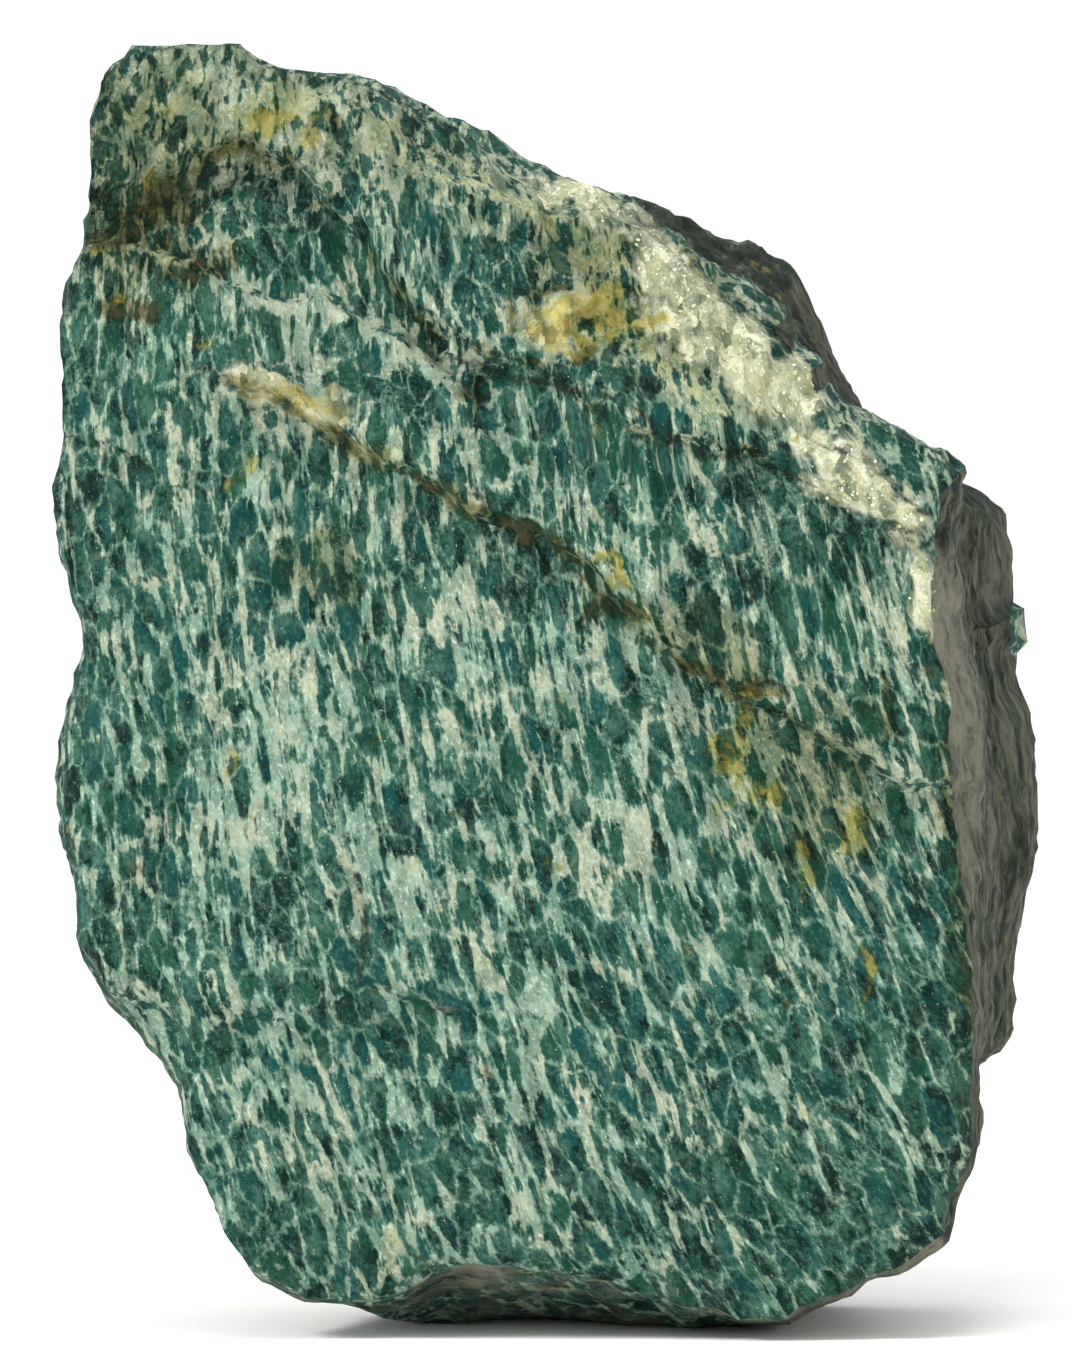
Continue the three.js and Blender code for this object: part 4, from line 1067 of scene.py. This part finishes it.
def amazonite_material(colours, sizes):
    """Amazonite: microcline coloured green by lead, with cream albite that parted from it as it cooled.

    The eye sees dark, slightly clear green cells, longer than wide, in a milky net of albite that thickens
    into pale streaks. Broken sides are dulled by a grey-brown skin of weathering.
    """
    material, tree, shader = new_material("amazonite_perthite")
    places = {"grain": add(tree, "ShaderNodeAttribute", attribute_name="grain").outputs["Vector"]}
    value = {name: add(tree, "ShaderNodeAttribute", attribute_name=name).outputs["Fac"] for name in FIELDS}
    for name, place, size, detail, roughness, bend in CLOUDS:
        at = add(tree, "ShaderNodeVectorMath", {0: places[place], 1: tuple(1 / n for n in size)},
                 operation="MULTIPLY")
        cloud = add(tree, "ShaderNodeTexNoise", {
            "Vector": at, "Scale": 1.0, "Detail": detail, "Roughness": roughness})
        value[name] = cloud
        if bend:
            places[name] = add(tree, "ShaderNodeVectorMath", {
                0: cloud.outputs["Color"], 1: bend, 2: places[place]}, operation="MULTIPLY_ADD")

    # Two nets of cells, a coarse one and a fine one. Their borders are ragged, and the cells reach further into
    # the stone than across it.
    width, long = sizes.cell_width / MM, sizes.cell_length / MM
    for name, share in (("coarse", 1.0), ("fine", 0.5)):
        at = add(tree, "ShaderNodeVectorMath", {
            0: places["fray"], 1: (1 / (share * width), 0.7 / (share * width), 1 / (share * long))},
            operation="MULTIPLY")
        net = {"Vector": at, "Scale": 1.0, "Randomness": 0.95}
        value[name + " edge"] = add(tree, "ShaderNodeTexVoronoi", net, feature="DISTANCE_TO_EDGE")
        cell = add(tree, "ShaderNodeTexVoronoi", net)
        chance = add(tree, "ShaderNodeSeparateColor", {"Color": cell.outputs["Color"]})
        for part in ("Red", "Green", "Blue"):
            value[f"{name} {part}"] = chance.outputs[part]
        slope = add(tree, "ShaderNodeVectorMath", {0: cell.outputs["Color"], 1: (0.5, 0.5, 0.5)},
                    operation="SUBTRACT")
        from_middle = add(tree, "ShaderNodeVectorMath", {0: at, 1: cell.outputs["Position"]}, operation="SUBTRACT")
        value[name + " tilt"] = add(tree, "ShaderNodeVectorMath", {0: from_middle, 1: slope},
                                    operation="DOT_PRODUCT").outputs["Value"]

    for name, operation, *given in VALUES:
        given = [value[one] if isinstance(one, str) else one for one in given]
        if operation == "STEP":
            value[name] = add(tree, "ShaderNodeMapRange", dict(zip(
                ("Value", "From Min", "From Max", "To Min", "To Max"), given)), interpolation_type="SMOOTHSTEP")
        else:
            value[name] = add(tree, "ShaderNodeMath", dict(enumerate(given)), operation=operation)

    mixture = {"cells": colours.teal, "creams": colours.cream, "milk": colours.quartz, "skin": colours.wall_dark}
    for base, tint, source, low, high, most, blend_type in LAYERS:
        share = add(tree, "ShaderNodeMapRange", {
            "Value": value[source], "From Min": low, "From Max": high, "To Min": 0.0, "To Max": most},
            interpolation_type="SMOOTHSTEP")
        laid = mixture[tint] if tint in mixture else getattr(colours, tint)
        under = mixture.get(base, mixture["cells"])  # the stone starts as its cells
        mixture[base] = add(tree, "ShaderNodeMix", {"Factor": share, "A": under, "B": laid}, data_type="RGBA",
                            blend_type=blend_type)
    tree.links.new(mixture["stone"].outputs["Result"], shader.inputs["Base Color"])

    tree.links.new(value["gloss"].outputs["Value"], shader.inputs["Roughness"])
    shader.inputs["IOR"].default_value = 1.52
    shader.inputs["Specular IOR Level"].default_value = 0.06
    bump = add(tree, "ShaderNodeBump", {"Strength": 0.9, "Distance": 0.3 * MM, "Height": value["relief"]})
    tree.links.new(bump.outputs["Normal"], shader.inputs["Normal"])
    return material


def quartz_material(colours):
    """Sugary quartz: small broken grains, milky and slightly clear, with glints painted into its colour."""
    material, tree, shader = new_material("milky_quartz")
    place = add(tree, "ShaderNodeTexCoord").outputs["Object"]
    cloudy = add(tree, "ShaderNodeTexNoise", {"Vector": place, "Scale": 0.9 / MM, "Detail": 2.0})
    milky = add(tree, "ShaderNodeMix", {"Factor": cloudy, "A": colours.butter, "B": colours.quartz},
                data_type="RGBA")
    # Painted glints: bright spots in the grains' base colour.
    glint = add(tree, "ShaderNodeTexNoise", {"Vector": place, "Scale": 1.6 / MM, "Detail": 0.0})
    bright = add(tree, "ShaderNodeMapRange", {"Value": glint, "From Min": 0.6, "From Max": 0.68})
    glinting = add(tree, "ShaderNodeMix", {"Factor": bright, "A": milky, "B": colours.glint}, data_type="RGBA")
    tree.links.new(glinting.outputs["Result"], shader.inputs["Base Color"])
    shader.inputs["Roughness"].default_value = 0.2
    shader.inputs["IOR"].default_value = 1.54
    return material


# ---- Operators ----

def finish_piece(obj):
    """Says that a piece belongs to the stone's body."""
    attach(obj, BODY)


class AMAZONITE_OT_stone(bpy.types.Operator):
    """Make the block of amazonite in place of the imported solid"""
    bl_idname = "amazonite.stone"
    bl_label = "Stone"

    def execute(self, context):
        sizes, colours = context.scene.amazonite_sizes, context.scene.amazonite_colours
        mesh = made_by(
            chips_tree(), "stone", stone_mesh(sizes), Chip_size=sizes.chip_size, Chip_relief=sizes.chip_relief,
            Material=amazonite_material(colours, sizes))
        mesh.shade_smooth()
        stone = new_object("stone", mesh)
        finish_piece(stone)
        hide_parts(NODE)
        return {"FINISHED"}


class AMAZONITE_OT_grains(bpy.types.Operator):
    """Set the sugary grains on the quartz vein"""
    bl_idname = "amazonite.grains"
    bl_label = "Quartz grains"

    def execute(self, context):
        sizes, colours = context.scene.amazonite_sizes, context.scene.amazonite_colours
        mesh = made_by(
            grains_tree(), "quartz_grains", bpy.data.objects["stone"].data.copy(), Grain_size=sizes.quartz_grain,
            Grains_per_square_metre=sizes.quartz_density, Material=quartz_material(colours))
        finish_piece(new_object("quartz_grains", mesh))
        return {"FINISHED"}


class AMAZONITE_OT_stage(bpy.types.Operator):
    """Set up the floor, the studio lights and the camera"""
    bl_idname = "amazonite.stage"
    bl_label = "Stage"

    def execute(self, context):
        scene, settings = context.scene, context.scene.amazonite_stage
        turns = [math.tau * n / FLOOR_SIDES for n in range(FLOOR_SIDES)]
        ring = [(FLOOR_RADIUS * math.cos(turn), FLOOR_RADIUS * math.sin(turn), 0) for turn in turns]
        floor_mesh = bpy.data.meshes.new("floor")
        floor_mesh.from_pydata(ring, [], [tuple(range(FLOOR_SIDES))])

        # Matt paper: even and nearly white, with no shine, so that only a soft shadow shows on it.
        material, _, shader = new_material("matt_paper")
        shader.inputs["Base Color"].default_value = settings.floor
        shader.inputs["Roughness"].default_value = 0.9
        floor_mesh.materials.append(material)
        floor = new_object("floor", floor_mesh)

        for name, (place, aim, width, spread) in LAMPS.items():
            light = bpy.data.lights.new(name, "AREA")
            light.shape, light.size, light.spread = "DISK", width, math.radians(spread)
            light.energy = getattr(settings, name + "_power")
            lamp = new_object(name, light)
            lamp.location = place
            lamp.rotation_euler = (Vector(aim) - Vector(place)).to_track_quat("-Z", "Y").to_euler()

        world = bpy.data.worlds.new("studio")
        world.use_nodes = True
        background = world.node_tree.nodes["Background"]
        background.inputs["Color"].default_value = (1, 1, 1, 1)
        background.inputs["Strength"].default_value = settings.sky
        scene.world = world
        scene.view_settings.view_transform = "Standard"

        lens = bpy.data.cameras.new("camera")
        lens.sensor_width, lens.lens = SENSOR_WIDTH, LENS
        camera = new_object("camera", lens)
        camera.location = CAMERA_PLACE
        camera.rotation_euler = (math.radians(90), 0, 0)
        scene.camera = camera
        return {"FINISHED"}


class AMAZONITE_PT_panel(bpy.types.Panel):
    """Sizes, colours and steps of the rough amazonite"""
    bl_idname = "AMAZONITE_PT_panel"
    bl_label = "Rough amazonite"
    bl_space_type = "VIEW_3D"
    bl_region_type = "UI"
    bl_category = "Amazonite"

    def draw(self, context):
        for settings in (context.scene.amazonite_sizes, context.scene.amazonite_colours,
                         context.scene.amazonite_stage):
            box = self.layout.box()
            for name in settings.__annotations__:
                box.prop(settings, name)
        for step in STEPS:
            self.layout.operator(step.bl_idname)


STEPS = (AMAZONITE_OT_stone, AMAZONITE_OT_grains, AMAZONITE_OT_stage)
SETTINGS = {"amazonite_sizes": StoneSizes, "amazonite_colours": StoneColours, "amazonite_stage": StageSettings}
CLASSES = (*SETTINGS.values(), *STEPS, AMAZONITE_PT_panel)


def register():
    for made in CLASSES:
        bpy.utils.register_class(made)
    for name, group in SETTINGS.items():
        setattr(bpy.types.Scene, name, bpy.props.PointerProperty(type=group))


def unregister():
    for name in SETTINGS:
        delattr(bpy.types.Scene, name)
    for made in reversed(CLASSES):
        bpy.utils.unregister_class(made)


def main():
    register()
    for step in (bpy.ops.amazonite.stone, bpy.ops.amazonite.grains, bpy.ops.amazonite.stage):
        step()


if __name__ == "__main__":
    main()
